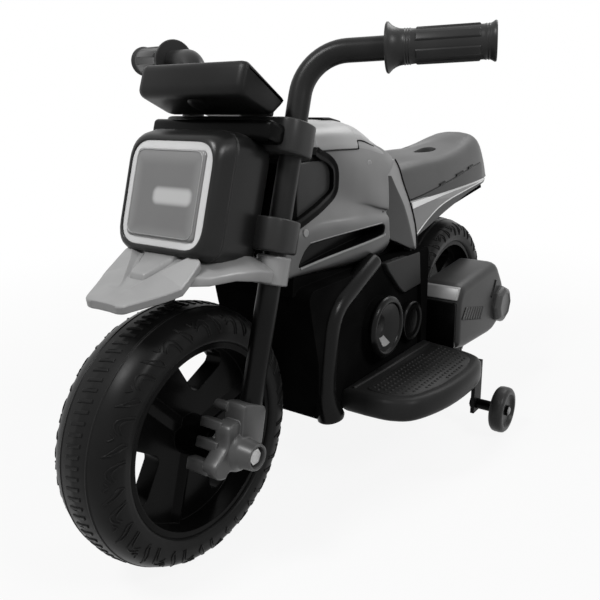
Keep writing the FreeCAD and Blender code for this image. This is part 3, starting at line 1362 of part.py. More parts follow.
def make_motor_pinion():
    """Pinion on the motor shaft, with the shaft."""
    turn = MOTOR_HEADING + 180.0 + PINION_HALF_TOOTH
    gear = make_gear(PINION_TEETH, turn, LAYER_START, LAYER_END, MOTOR_Y, MOTOR_Z)
    return fuse([gear, rod_x(MOTOR_SHAFT_R, LAYER_START, -ARM_OUT - MOTOR_LENGTH / 2, MOTOR_Y, MOTOR_Z)])


def case_body(clear, start, end):
    """Rounded block over the idler and the pinion."""
    tip = TIP_SHARE * GEAR_MODULE + clear
    idler = rod_x(GEAR_MODULE * IDLER_TEETH / 2 + tip, start, end, IDLER_Y, IDLER_Z)
    pinion = rod_x(GEAR_MODULE * PINION_TEETH / 2 + tip, start, end, MOTOR_Y, MOTOR_Z)
    return fuse([idler, pinion])


def make_gear_case():
    """Gear case with the idler's pin, on the inner face of the right arm, open towards the wheel."""
    mouth = LAYER_START - SIDE_CLEAR
    body = case_body(CASE_CLEAR + CASE_WALL, mouth, -ARM_IN)
    floor = LAYER_END - SIDE_CLEAR
    room = case_body(CASE_CLEAR, mouth + OVERRUN, floor)
    shaft = rod_x(MOTOR_SHAFT_R + SIDE_CLEAR, 0, -ARM_OUT, MOTOR_Y, MOTOR_Z)
    pin = rod_x(IDLER_PIN_R, -WEB_HALF - RIB_RISE - GEAR_SPACE, -ARM_IN, IDLER_Y, IDLER_Z)
    return fuse([cut(body, [room, shaft]), pin])


def make_motor():
    """Motor can on the outer face of the right arm, with a bore for its rotor shaft."""
    can = rod_x(MOTOR_R, -ARM_OUT, -ARM_OUT - MOTOR_LENGTH, MOTOR_Y, MOTOR_Z)
    can = can.makeFillet(WALL, edges_in(can, 0, -ARM_OUT - MOTOR_LENGTH))
    boss = rod_x(MOTOR_BOSS_R, -ARM_OUT, -ARM_OUT + MOTOR_BOSS, MOTOR_Y, MOTOR_Z)
    bore = rod_x(MOTOR_SHAFT_R + RUN_CLEAR, 0, -ARM_OUT - MOTOR_LENGTH / 2 - OVERRUN, MOTOR_Y, MOTOR_Z)
    return fuse([can, boss]).cut(bore)


def right_hull(hull):
    """Right hull half: the mirrored left one with holes for the motor and the socket."""
    boss = rod_x(MOTOR_BOSS_R, -ARM_OUT - OVERRUN, -ARM_OUT + MOTOR_BOSS, MOTOR_Y, MOTOR_Z)
    shaft = rod_x(MOTOR_SHAFT_R + SIDE_CLEAR, 0, -ARM_OUT, MOTOR_Y, MOTOR_Z)
    y, z = along(SOCKET_SHARES[0]), level(SOCKET_SHARES[1])
    socket = rod_x(SOCKET_R, -ENGINE_HALF - OVERRUN, -ENGINE_HALF + SOCKET_DEPTH, y, z)
    return cut(mirrored(hull), [boss, shaft, socket])


# Battery and socket

def make_battery():
    """Sealed battery with its two tabs, on the hull's floor."""
    low = BODY_BASE + WALL
    front = BATTERY_MIDDLE - BATTERY_LENGTH / 2
    rear = BATTERY_MIDDLE + BATTERY_LENGTH / 2
    top = low + BATTERY_HEIGHT
    body = block((-BATTERY_HALF, BATTERY_HALF), (front, rear), (low, top))
    body = body.makeChamfer(BATTERY_EDGE, edges_in(body, 2, top))
    tabs = []
    for side in (-1, 1):
        x = side * BATTERY_HALF / 2
        span = (front + BATTERY_EDGE * 2, front + BATTERY_EDGE * 4)
        tabs.append(block((x - TERMINAL_HALF, x + TERMINAL_HALF), span, (top, top + TERMINAL_RISE)))
    return fuse([body] + tabs)


def make_socket():
    """Charging socket in the right hull half: flange, body, mouth and jack hole."""
    y, z = along(SOCKET_SHARES[0]), level(SOCKET_SHARES[1])
    face = -ENGINE_HALF
    body = rod_x(SOCKET_R, face, face + SOCKET_DEPTH, y, z)
    flange = rod_x(SOCKET_FLANGE_R, face - SOCKET_FLANGE, face, y, z)
    mouth_end = face - SOCKET_FLANGE + SOCKET_BORE
    mouth = rod_x(SOCKET_BORE_R, face - SOCKET_FLANGE - OVERRUN, mouth_end, y, z)
    jack = rod_x(SOCKET_JACK_R, mouth_end - OVERRUN, mouth_end + SOCKET_JACK, y, z)
    return cut(fuse([body, flange]), [mouth, jack])


# Stabilisers

STAB_Z = STAB_R + STAB_LIFT
STAB_IN = STAB_PLACE - STAB_WIDTH / 2
STAB_OUT = STAB_PLACE + STAB_WIDTH / 2


def make_stabiliser_wheel():
    """Left stabiliser wheel with rounded edges and a dished outer face."""
    wheel = rod_x(STAB_R, STAB_IN, STAB_OUT, STAB_Y, STAB_Z)
    rims = edges_in(wheel, 0, STAB_IN) + edges_in(wheel, 0, STAB_OUT)
    wheel = wheel.makeFillet(STAB_TYRE_EDGE, rims)
    dish = rod_x(STAB_DISH_R, STAB_OUT - STAB_DISH, STAB_OUT + OVERRUN, STAB_Y, STAB_Z)
    bore = rod_x(STAB_BOLT_R + RUN_CLEAR, STAB_IN - OVERRUN, STAB_OUT + OVERRUN, STAB_Y, STAB_Z)
    return cut(wheel, [dish, bore])


def make_stabiliser_bracket():
    """Left stabiliser bracket: a foot under the step and a strap down to the bolt."""
    half = STRAP_THICK / 2
    strap_x = (STRAP_PLACE - half, STRAP_PLACE + half)
    strap = block(strap_x, (STAB_Y - STRAP_HALF, STAB_Y + STRAP_HALF), (STAB_Z - STRAP_END, BODY_BASE))
    foot = block((STRAP_FOOT_IN, STRAP_PLACE + half), (STAB_Y - STRAP_FOOT_FORE, STAB_Y + STRAP_HALF),
                 (BODY_BASE - STRAP_THICK, BODY_BASE))
    hole = rod_x(STAB_BOLT_R, strap_x[0] - OVERRUN, strap_x[1] + OVERRUN, STAB_Y, STAB_Z)
    return fuse([strap, foot]).cut(hole)


def make_stabiliser_bolts():
    """Pair of bolts that carry the stabiliser wheels, each with its head, collar and end nut."""
    start = STRAP_PLACE - STRAP_THICK / 2
    collar_start = STRAP_PLACE + STRAP_THICK / 2
    floor = STAB_OUT - STAB_DISH
    head = hex_x(STAB_BOLT_HEAD_R, start - STAB_BOLT_HEAD, start, STAB_Y, STAB_Z)
    shank = rod_x(STAB_BOLT_R, start, floor + SIDE_CLEAR, STAB_Y, STAB_Z)
    collar = rod_x(STAB_BOLT_HEAD_R, collar_start, STAB_IN - SIDE_CLEAR, STAB_Y, STAB_Z)
    nut = hex_x(STAB_BOLT_HEAD_R, floor + SIDE_CLEAR, STAB_OUT - SIDE_CLEAR, STAB_Y, STAB_Z)
    bolt = fuse([head, shank, collar, nut])
    return Part.makeCompound([bolt, mirrored(bolt)])


def make_body_screws():
    """Screws that hold the side panels to the hull."""
    screws = []
    for x, y, z in screw_places():
        head = rod_x(SCREW_HEAD_R, x, x + SCREW_HEAD, y, z)
        screws.append(fuse([head, rod_x(SCREW_R, x - SCREW_LENGTH, x, y, z)]))
    return Part.makeCompound(screws + [mirrored(screw) for screw in screws])


def build():
    """Make and write every node."""
    os.makedirs("parts", exist_ok=True)
    tube, grip, fork_end = make_fork_tube(), make_grip(), make_fork_end()
    hull, panel = make_hull(), make_side_panel()
    knee, tail = make_knee_plate(), make_tail_panel()
    box, bracket, small_wheel = make_exhaust_box(), make_stabiliser_bracket(), make_stabiliser_wheel()
    tyre = make_tyre()
    rear_rim = make_rim(REAR_HUB_HALF).cut(ring_gear_room())
    pairs = {"fork_tube": tube, "grip": grip, "fork_end": fork_end, "side_panel": panel,
             "tail_panel": tail, "exhaust_box": box, "stabiliser_wheel": small_wheel}
    for name, shape in pairs.items():
        save(name + "_left", shape)
        save(name + "_right", mirrored(shape))
    save("knee_plates", Part.makeCompound([knee, mirrored(knee)]))
    save("stabiliser_brackets", Part.makeCompound([bracket, mirrored(bracket)]))
    save("hull_left", hull)
    save("hull_right", right_hull(hull))
    save("step_left", make_step(1))
    save("step_right", make_step(-1))
    save("upper_yoke", make_yoke(UPPER_YOKE))
    save("lower_yoke", make_yoke(LOWER_YOKE))
    save("steering_stem", make_stem())
    save("stem_nut", make_stem_nut())
    save("head_bushes", make_head_bushes())
    save("front_axle", make_front_axle())
    save("front_axle_nuts", make_front_nuts())
    save("front_tyre", shifted(tyre, 0, FRONT_Y, AXLE_Z))
    save("front_rim", shifted(make_rim(FRONT_HUB_HALF), 0, FRONT_Y, AXLE_Z))
    save("front_hub_bushes", shifted(make_hub_bushes(FRONT_HUB_HALF, AXLE_R), 0, FRONT_Y, AXLE_Z))
    save("rear_tyre", shifted(tyre, 0, REAR_Y, AXLE_Z))
    save("rear_rim", shifted(rear_rim, 0, REAR_Y, AXLE_Z))
    save("rear_hub_bushes", shifted(make_hub_bushes(REAR_HUB_HALF, REAR_AXLE_R), 0, REAR_Y, AXLE_Z))
    save("rear_axle", make_rear_axle())
    save("rear_axle_caps", make_axle_caps())
    save("headlight_bezel", make_lamp_bezel())
    save("headlight_housing", make_lamp_housing())
    save("headlight_ring", make_lamp_ring())
    save("headlight_lens", make_lamp_lens())
    save("led_board", make_led_board())
    save("dash_case", make_dash_case())
    save("dash_panel", make_dash_panel())
    for name, share in BUTTON_PLACES_SHARES.items():
        save(name, make_button(share))
    save("direction_rocker", make_rocker())
    save("mudguard", make_mudguard())
    save("tank_deck", make_deck())
    save("tank_cover", make_cover())
    save("seat", make_seat())
    save("accelerator_pedal", make_pedal())
    save("drive_gear", make_ring_gear())
    save("idler_gear", make_idler())
    save("motor_pinion", make_motor_pinion())
    save("gear_case", make_gear_case())
    save("drive_motor", make_motor())
    save("battery", make_battery())
    save("charging_socket", make_socket())
    save("stabiliser_bolts", make_stabiliser_bolts())
    save("body_screws", make_body_screws())


build()
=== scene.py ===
"""Looks of a child's electric ride-on motorbike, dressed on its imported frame.

Sizes are in millimetres in the part's frame: the bike faces -Y, +X is its left side and +Z is up.
"""

import logging
import math
from dataclasses import dataclass
from enum import Enum
from typing import Any, Callable, Sequence, Union

import bmesh
import bpy
from mathutils import Matrix, Vector
from mathutils.bvhtree import BVHTree


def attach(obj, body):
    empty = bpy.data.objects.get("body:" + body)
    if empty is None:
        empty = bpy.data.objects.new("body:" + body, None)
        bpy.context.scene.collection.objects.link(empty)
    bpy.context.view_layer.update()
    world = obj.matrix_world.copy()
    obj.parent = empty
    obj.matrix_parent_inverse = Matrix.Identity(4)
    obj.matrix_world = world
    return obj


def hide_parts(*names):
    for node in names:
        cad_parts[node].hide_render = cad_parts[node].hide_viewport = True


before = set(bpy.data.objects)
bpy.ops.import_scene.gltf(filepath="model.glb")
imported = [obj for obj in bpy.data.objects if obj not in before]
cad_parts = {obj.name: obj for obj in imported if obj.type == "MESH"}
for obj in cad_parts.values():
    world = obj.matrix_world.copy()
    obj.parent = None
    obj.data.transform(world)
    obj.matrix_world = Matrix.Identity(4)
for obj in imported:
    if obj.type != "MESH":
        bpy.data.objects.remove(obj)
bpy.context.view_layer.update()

MM = 0.001
LOG = logging.getLogger("motorbike")
WHITE = (1.0, 1.0, 1.0, 1.0)

Point = tuple[float, float, float]
Flat = tuple[float, float]
Line = tuple[Flat, ...]
Path = tuple[Point, ...]
Stations = tuple[tuple[float, Line], ...]
Operand = Union["Value", float]


class Slot(str, Enum):
    """Finish slots of the record, which choose the finish of new pieces."""

    GLOSS_BLACK = "gloss_black"
    SATIN_BLACK = "satin_black"
    TYRE_BLACK = "tyre_black"
    GRIP_BLACK = "grip_black"
    SILVER = "silver"
    DARK_GREY = "dark_grey"
    PALE_RING = "pale_ring"
    LENS = "lens"
    BOARD = "board"
    STEEL = "steel"
    WHITE_GEAR = "white_gear"


class Body(str, Enum):
    """Moving bodies of the frame that new pieces ride on."""

    CHASSIS = "chassis"
    STEERING = "steering"
    FRONT_WHEEL = "front_wheel"
    REAR_WHEEL = "rear_wheel"
    LEFT_STABILISER = "left_stabiliser_wheel"
    RIGHT_STABILISER = "right_stabiliser_wheel"


# Shader expressions

class Value:
    """A shader socket that takes part in sums, where each operator adds a Math node."""

    def __init__(self, shader: "Shader", socket: bpy.types.NodeSocket) -> None:
        """Wrap one output socket of a shader's tree."""
        self.shader = shader
        self.socket = socket

    def _math(self, operation: str, first: Operand, second: Operand) -> "Value":
        """Add a Math node that works on two operands."""
        return self.shader.node("ShaderNodeMath", {"operation": operation}, {0: first, 1: second})

    def __add__(self, other: Operand) -> "Value":
        """Sum of this value and another."""
        return self._math("ADD", self, other)

    __radd__ = __add__

    def __sub__(self, other: Operand) -> "Value":
        """This value less another."""
        return self._math("SUBTRACT", self, other)

    def __mul__(self, other: Operand) -> "Value":
        """Product of this value and another."""
        return self._math("MULTIPLY", self, other)

    __rmul__ = __mul__

    def most(self, other: Operand) -> "Value":
        """The larger of this value and another."""
        return self._math("MAXIMUM", self, other)

    def size(self) -> "Value":
        """This value without its sign."""
        return self._math("ABSOLUTE", self, 0.0)

    def step(self, low: float, high: float) -> "Value":
        """Smooth step from 0 at low to 1 at high.

        Args:
            low: Value where the step starts.
            high: Value where the step ends, which may be below low for a falling step.

        Returns:
            A value from 0 to 1.
        """
        settings = {"interpolation_type": "SMOOTHSTEP"}
        ends = (low, high, 0.0, 1.0) if low < high else (high, low, 1.0, 0.0)
        sockets = {0: self, 1: ends[0], 2: ends[1], 3: ends[2], 4: ends[3]}
        return self.shader.node("ShaderNodeMapRange", settings, sockets)


class Shader:
    """The node tree of one material or world, with one method that adds any node."""

    def __init__(self, owner: bpy.types.Material | bpy.types.World) -> None:
        """Take a new material or world and empty its tree."""
        owner.use_nodes = True
        self.owner = owner
        self.tree = owner.node_tree
        self.tree.nodes.clear()

    def node(self, kind: str, settings: dict[str, Any], sockets: dict[Any, Any], output: Any = 0) -> Value:
        """Add a node.

        Args:
            kind: Type name of the node.
            settings: Properties that are set first.
            sockets: Numbers, colours or values by input name or index.
            output: Name or index of the output that is returned.

        Returns:
            The wrapped output socket.
        """
        made = self.tree.nodes.new(kind)
        for key, setting in settings.items():
            setattr(made, key, setting)
        for key, given in sockets.items():
            if isinstance(given, Value):
                self.tree.links.new(given.socket, made.inputs[key])
            else:
                made.inputs[key].default_value = given
        return Value(self, made.outputs[output])

    def place(self) -> Value:
        """Object coordinates, which are the part's frame in metres."""
        return self.node("ShaderNodeTexCoord", {}, {}, "Object")

    def axes(self, place: Value) -> tuple[Value, Value, Value]:
        """The three coordinates of a place as separate values."""
        split = self.node("ShaderNodeSeparateXYZ", {}, {0: place}).socket.node
        return tuple(Value(self, socket) for socket in split.outputs)

    def turned(self, place: Value, turn: Point, scale: Point) -> Value:
        """A place turned and scaled by a Mapping node."""
        return self.node("ShaderNodeMapping", {}, {0: place, 2: turn, 3: scale})

    def noise(self, place: Value, grain_mm: float, detail: float = 2.0) -> Value:
        """Noise from 0 to 1 whose patches have about the given size."""
        sockets = {"Vector": place, "Scale": 1.0 / (grain_mm * MM), "Detail": detail, "Roughness": 0.55}
        return self.node("ShaderNodeTexNoise", {}, sockets, "Fac")

    def blend(self, share: Operand, first: Any, second: Any) -> Value:
        """Colour that goes from first to second as share goes from 0 to 1."""
        return self.node("ShaderNodeMix", {"data_type": "RGBA"}, {0: share, 6: first, 7: second}, 2)

    def soft_edges(self, radius_mm: float) -> Value:
        """Normals that round the edges of a moulding."""
        return self.node("ShaderNodeBevel", {"samples": 4}, {"Radius": radius_mm * MM})

    def bump(self, height: Value, strength: float, depth_mm: float, normal: Value) -> Value:
        """Normals of a relief on top of other normals."""
        sockets = {"Strength": strength, "Distance": depth_mm * MM, "Height": height, "Normal": normal}
        return self.node("ShaderNodeBump", {}, sockets)

    def studio_rays(self) -> Value:
        """1 for rays from the camera, off gloss or through glass, and 0 for the others."""
        rays = self.node("ShaderNodeLightPath", {}, {}).socket.node.outputs
        kinds = ("Camera", "Glossy", "Transmission")
        camera, gloss, glass = (Value(self, rays[f"Is {kind} Ray"]) for kind in kinds)
        return camera.most(gloss).most(glass)

    def close(self, sockets: dict[str, Any]) -> bpy.types.Material:
        """Add the surface shader and the output, and return the material."""
        return self.end(self.node("ShaderNodeBsdfPrincipled", {}, sockets), "ShaderNodeOutputMaterial")

    def end(self, surface: Value, kind: str) -> Any:
        """Link a surface to an output of a kind, and return the material or world."""
        out = self.tree.nodes.new(kind)
        self.tree.links.new(surface.socket, out.inputs["Surface"])
        return self.owner


def grey(level: float) -> tuple[float, float, float, float]:
    """Neutral colour of a display level from 0 to 255."""
    share = level / 255.0
    linear = ((share + 0.055) / 1.055) ** 2.4 if share > 0.04045 else share / 12.92
    return (linear, linear, linear, 1.0)


# Finishes

@dataclass(frozen=True)
class Moulding:
    """A moulded plastic with its grain, flow marks and rounded edges, and painted light in its tone."""

    name: str
    dark: float
    light: float
    roughness: float
    grain_mm: float = 0.9
    relief: float = 0.15
    metallic: float = 0.0
    edge_mm: float = 1.6
    # Lighter rounded edges are partly wear and partly a painted highlight.
    edge_light: float = 10.0
    specular: float = 0.3
    scuff: float = 0.04
    scuff_mm: float = 24.0
    scuff_step: Flat = (0.56, 0.74)
    # Broad tone patches: flow marks, and on the panel silver also a painted reflection of the surroundings.
    flow_mm: float = 70.0
    flow_step: Flat = (0.3, 0.7)
    flow_gloss: float = 0.08
    grain_gloss: float = 0.05
    wear: float = 0.5
    wear_step: Flat = (0.99, 0.86)
    relief_mm: float = 0.25
    # A darker under tone on faces that look down is painted shade.
    under_step: Flat = (-0.75, 0.35)
    under: float | None = None
    # A darker foot tone below a height is a painted shadow.
    foot: Point | None = None

    def material(self) -> bpy.types.Material:
        """Build the material.

        Returns:
            A material whose tone, gloss and relief vary over the piece, where lighter edges hold a painted
            highlight and, where set, a painted shade and a painted shadow darken the tone.
        """
        shader = Shader(bpy.data.materials.new(self.name))
        place = shader.place()
        flow_and_reflection = shader.noise(place, self.flow_mm, 3.0)
        grain = shader.noise(place, self.grain_mm, 2.0)
        stretched = shader.turned(place, (0.3, 0.2, 0.5), (1.0, 12.0, 12.0))
        scuffs = shader.noise(stretched, self.scuff_mm, 4.0).step(*self.scuff_step)
        rounded = shader.soft_edges(self.edge_mm)
        plain = shader.node("ShaderNodeNewGeometry", {}, {}, "Normal")
        dot = {"operation": "DOT_PRODUCT"}
        facing = shader.node("ShaderNodeVectorMath", dot, {0: rounded, 1: plain}, "Value")
        edges = facing.step(*self.wear_step)
        # Tone patches: flow marks, and on the panel silver also a painted reflection.
        tone = shader.blend(flow_and_reflection.step(*self.flow_step), grey(self.dark), grey(self.light))
        # Painted shade: faces whose rounded normal looks down take the darker under tone.
        if self.under is not None:
            upward = shader.axes(rounded)[2].step(*self.under_step)
            tone = shader.blend(upward, grey(self.under), tone)
        # Painted shadow: below a height the tone goes to the darker foot level.
        if self.foot is not None:
            low, high, level = self.foot
            raised = shader.axes(place)[2].step(low * MM, high * MM)
            tone = shader.blend(raised, grey(level), tone)
        # Lighter edges: partly wear, partly a painted highlight.
        worn_and_highlit = shader.blend(edges * self.wear, tone, grey(self.light + self.edge_light))
        uneven = (flow_and_reflection - 0.5) * self.flow_gloss
        gloss = self.roughness + uneven + scuffs * self.scuff + (grain - 0.5) * self.grain_gloss
        normal = shader.bump(grain, self.relief, self.relief_mm, rounded)
        return shader.close({
            "Base Color": worn_and_highlit, "Roughness": gloss, "Metallic": self.metallic,
            "Specular IOR Level": self.specular, "Normal": normal})


@dataclass(frozen=True)
class Metal:
    """A turned and plated steel."""

    name: str
    level: float
    roughness: float
    haze: Flat = (-25.0, 10.0)
    haze_mm: float = 12.0
    turning_mm: float = 9.0
    turning_gloss: float = 0.18
    relief: Flat = (0.12, 0.1)
    edge_mm: float = 0.6

    def material(self) -> bpy.types.Material:
        """Build the material with fine turning marks."""
        shader = Shader(bpy.data.materials.new(self.name))
        place = shader.place()
        stretched = shader.turned(place, (0, 0, 0), (14.0, 1.0, 1.0))
        turning = shader.noise(stretched, self.turning_mm, 3.0)
        dull, bright = (grey(self.level + change) for change in self.haze)
        tone = shader.blend(shader.noise(place, self.haze_mm, 2.0), dull, bright)
        gloss = self.roughness + (turning - 0.5) * self.turning_gloss
        normal = shader.bump(turning, *self.relief, shader.soft_edges(self.edge_mm))
        return shader.close({"Base Color": tone, "Roughness": gloss, "Metallic": 1.0, "Normal": normal})


@dataclass(frozen=True)
class LampLens:
    """A cloudy lens with a lighter bar where the lamp's diodes sit behind it."""

    name: str
    centre: Point
    tilt: float
    bar_half: Flat
    half: Flat
    bar_shift: float = 10.6
    bar_blur: float = 8.0
    bar_tone: float = 170.0
    body_tones: Flat = (90.0, 98.0)
    rim_mm: float = 14.0
    rim_tone: float = 136.0
    rim_share: float = 0.45
    cloud_mm: float = 30.0
    cloud_gloss: Flat = (0.34, 0.06)
    coat: float = 0.25
    grain_mm: float = 0.8
    relief: Flat = (0.05, 0.1)
    edge_mm: float = 1.0

    def material(self) -> bpy.types.Material:
        """Build the material from places on the lens."""
        shader = Shader(bpy.data.materials.new(self.name))
        turn = (math.radians(-self.tilt), 0.0, 0.0)
        settings = {"vector_type": "TEXTURE"}
        sockets = {0: shader.place(), 1: tuple(c * MM for c in self.centre), 2: turn}
        local = shader.node("ShaderNodeMapping", settings, sockets)
        across, _, up = shader.axes(local)
        bar_x = ((across - self.bar_shift * MM).size() - self.bar_half[0] * MM).most(0.0)
        bar_z = (up.size() - self.bar_half[1] * MM).most(0.0)
        glow = (bar_x * bar_x + bar_z * bar_z).step((self.bar_blur * MM) ** 2, 0.0)
        beyond = (across.size() - self.half[0] * MM).most(up.size() - self.half[1] * MM)
        rim = beyond.step(-self.rim_mm * MM, 0.0)
        cloud = shader.noise(local, self.cloud_mm, 2.0)
        body = shader.blend(cloud, *(grey(level) for level in self.body_tones))
        edge = shader.blend(rim * self.rim_share, body, grey(self.rim_tone))
        tone = shader.blend(glow, edge, grey(self.bar_tone))
        grain = shader.noise(local, self.grain_mm, 2.0)
        normal = shader.bump(grain, *self.relief, shader.soft_edges(self.edge_mm))
        smooth, uneven = self.cloud_gloss
        return shader.close({"Base Color": tone, "Roughness": smooth + cloud * uneven,
                             "Coat Weight": self.coat, "Normal": normal})


class Palette:
    """The finishes of the bike, each built once."""

    PLASTICS = (
        Moulding("gloss black moulding", 7, 11, 0.24, relief=0.04, specular=0.05, scuff=0.02),
        Moulding("satin black moulding", 18, 24, 0.38, specular=0.06),
        Moulding("black tyre moulding", 18, 24, 0.34, relief=0.08, specular=0.08),
        Moulding("black grip moulding", 36, 44, 0.34, relief=0.08, edge_mm=0.7, specular=0.15),
        # Silver faces that look down take a painted shade.
        Moulding("silver moulding", 132, 144, 0.34, relief=0.05, metallic=0.1, edge_light=34.0, under=66),
        # Panel silver: its broad dark and light patches are a painted reflection, and faces that look down
        # take a painted shade.
        Moulding("panel silver moulding", 96, 126, 0.30, relief=0.05, metallic=0.1, edge_light=30.0,
                 flow_mm=160.0, under=34),
        Moulding("tank silver moulding", 146, 156, 0.36, relief=0.05, metallic=0.1, edge_light=26.0),
        Moulding("dark grey moulding", 42, 49, 0.36, relief=0.10, edge_light=24.0, specular=0.15),
        Moulding("bracket grey moulding", 58, 66, 0.34, relief=0.08, edge_light=30.0),
        Moulding("engine black moulding", 13, 19, 0.40, relief=0.10, specular=0.0),
        Moulding("frame black moulding", 9, 13, 0.24, relief=0.02, specular=0.13),
        Moulding("step black moulding", 30, 37, 0.36, relief=0.12, edge_mm=3.0, edge_light=26.0,
                 specular=0.08),
        Moulding("yoke grey moulding", 38, 46, 0.34, relief=0.08, edge_mm=1.0, edge_light=70.0,
                 specular=0.15),
        # The fork's lower part takes a painted shadow.
        Moulding("fork grey moulding", 29, 35, 0.30, relief=0.05, edge_light=20.0, specular=0.1,
                 foot=(240.0, 320.0, 11.0)),
        Moulding("dash grey moulding", 18, 23, 0.34, relief=0.10, edge_mm=3.0, edge_light=24.0,
                 specular=0.12),
        # Lamp grey: its lighter edges are a painted highlight of the bezel.
        Moulding("lamp grey moulding", 20, 25, 0.30, relief=0.08, edge_mm=3.0, edge_light=40.0,
                 specular=0.2),
        Moulding("seat grey moulding", 62, 70, 0.36, relief=0.10, edge_light=20.0, specular=0.2),
        Moulding("white trim", 224, 232, 0.40, relief=0.02, specular=0.2),
        Moulding("pale lamp ring", 196, 204, 0.45, relief=0.03, specular=0.2),
        Moulding("white gear moulding", 205, 216, 0.45, relief=0.06),
        Moulding("green board", 55, 66, 0.5, relief=0.1),
    )

    def __init__(self) -> None:
        """Build every finish."""
        self.made: dict[str, bpy.types.Material] = {}
        for finish in (*self.PLASTICS, Metal("plated steel", 178, 0.3)):
            self.add(finish)

    def __getitem__(self, name: str) -> bpy.types.Material:
        """A finish by its name."""
        return self.made[name]

    def add(self, finish: Moulding | Metal | LampLens) -> bpy.types.Material:
        """Build one more finish and keep it."""
        self.made[finish.name] = finish.material()
        return self.made[finish.name]


SLOT_FINISH = {
    Slot.GLOSS_BLACK: "gloss black moulding",
    Slot.SATIN_BLACK: "satin black moulding",
    Slot.TYRE_BLACK: "black tyre moulding",
    Slot.GRIP_BLACK: "black grip moulding",
    Slot.SILVER: "silver moulding",
    Slot.DARK_GREY: "dark grey moulding",
    Slot.PALE_RING: "pale lamp ring",
    Slot.LENS: "pale lamp ring",
    Slot.BOARD: "green board",
    Slot.STEEL: "plated steel",
    Slot.WHITE_GEAR: "white gear moulding",
}


# Mesh tools

SHARP_ANGLE = 38.0
CRISP_ANGLE = 30.0
WELD_MM = 0.01
FAR_X = 300.0


def spline(points: Sequence[Sequence[float]], steps: int, closed: bool = False) -> list[Vector]:
    """Smooth line through points.

    Args:
        points: Places the line goes through.
        steps: Steps between neighbours.
        closed: Whether the line comes back to its start.

    Returns:
        Places along the line.
    """
    places = [Vector(point) for point in points]
    count = len(places)
    line = []
    for i in range(count if closed else count - 1):
        near = [i + k if closed else min(max(i + k, 0), count - 1) for k in (-1, 0, 1, 2)]
        a, b, c, d = (places[k % count] for k in near)
        for s in range(steps):
            t = s / steps
            line.append(0.5 * (2 * b + (c - a) * t + (2 * a - 5 * b + 4 * c - d) * t ** 2
                               + (3 * b - a - 3 * c + d) * t ** 3))
    return line if closed else line + [places[-1]]


def skin(rows: Sequence[Sequence[Point]], across: int, along: int) -> list[list[Vector]]:
    """Rows of points refined to a smooth surface in both directions."""
    fine = [spline(row, across) for row in rows]
    columns = [spline(column, along) for column in zip(*fine)]
    return [list(row) for row in zip(*columns)]


def filleted(points: Sequence[Flat], radius: float, steps: int = 4) -> list[Vector]:
    """Closed outline whose corners are rounded, where short edges take a smaller radius."""
    places = [Vector(point) for point in points]
    outline = []
    for i, corner in enumerate(places):
        ends = []
        for other in (places[i - 1], places[(i + 1) % len(places)]):
            way = other - corner
            ends.append(corner + way.normalized() * min(radius, way.length * 0.45))
        for s in range(steps + 1):
            t = s / steps
            outline.append(ends[0] * (1 - t) ** 2 + corner * (2 * t * (1 - t)) + ends[1] * t ** 2)
    return outline


def inset(outline: Sequence[Vector], depth: float) -> list[Vector]:
    """Closed flat outline drawn in by a depth."""
    count = len(outline)
    area = sum(outline[i - 1].x * outline[i].y - outline[i].x * outline[i - 1].y for i in range(count))
    sign = 1.0 if area > 0 else -1.0
    drawn = []
    for i, point in enumerate(outline):
        way = outline[(i + 1) % count] - outline[i - 1]
        normal = Vector((-way.y, way.x)).normalized() * sign
        drawn.append(point + normal * depth)
    return drawn


def inside(outline: Sequence[Vector], point: Vector) -> bool:
    """Whether a point lies within a closed flat outline."""
    within = False
    for i, corner in enumerate(outline):
        last = outline[i - 1]
        if (corner.y > point.y) != (last.y > point.y):
            cross = (last.x - corner.x) * (point.y - corner.y) / (last.y - corner.y) + corner.x
            within = within != (point.x < cross)
    return within


def circle(centre: Flat, radius: float, steps: int, sweep: float = math.tau) -> list[Flat]:
    """Points of a circle, or of its first part, from one end to the other."""
    turns = [sweep * k / steps for k in range(steps + 1)]
    return [(centre[0] + radius * math.cos(turn), centre[1] + radius * math.sin(turn)) for turn in turns]


def straight(ends: Sequence[Sequence[float]], at: float) -> float:
    """Second coordinate of the line through two points, also beyond them."""
    (near, first), (far, last) = ends
    return first + (last - first) * (at - near) / (far - near)


def line_at(line: Sequence[Sequence[float]], at: float) -> float:
    """Second coordinate of a bent line whose first ones rise, or its last one beyond its end."""
    for near, far in zip(line, line[1:]):
        if at <= far[0]:
            return straight((near[:2], far[:2]), at)
    return line[-1][1]


def both_ends(edge: Sequence[Flat], half: float) -> list[Flat]:
    """Levels of a body of a half width whose two ends have the same edge."""
    return [(run - half, depth) for run, depth in edge] + [(half - run, depth) for run, depth in edge[::-1]]


def whole_row(half: Sequence[Point]) -> list[Point]:
    """Row from the left side over the middle to the right side, of its left half."""
    return list(half) + [(-x, y, z) for x, y, z in half[-2::-1]]


def sideways(p: Vector, x: float) -> Point:
    """Place of a point of a side outline at a distance from the middle."""
    return (x, p.x, p.y)


def upright(p: Vector, z: float) -> Point:
    """Place of a point of a plan at a height."""
    return (p.x, p.y, z)


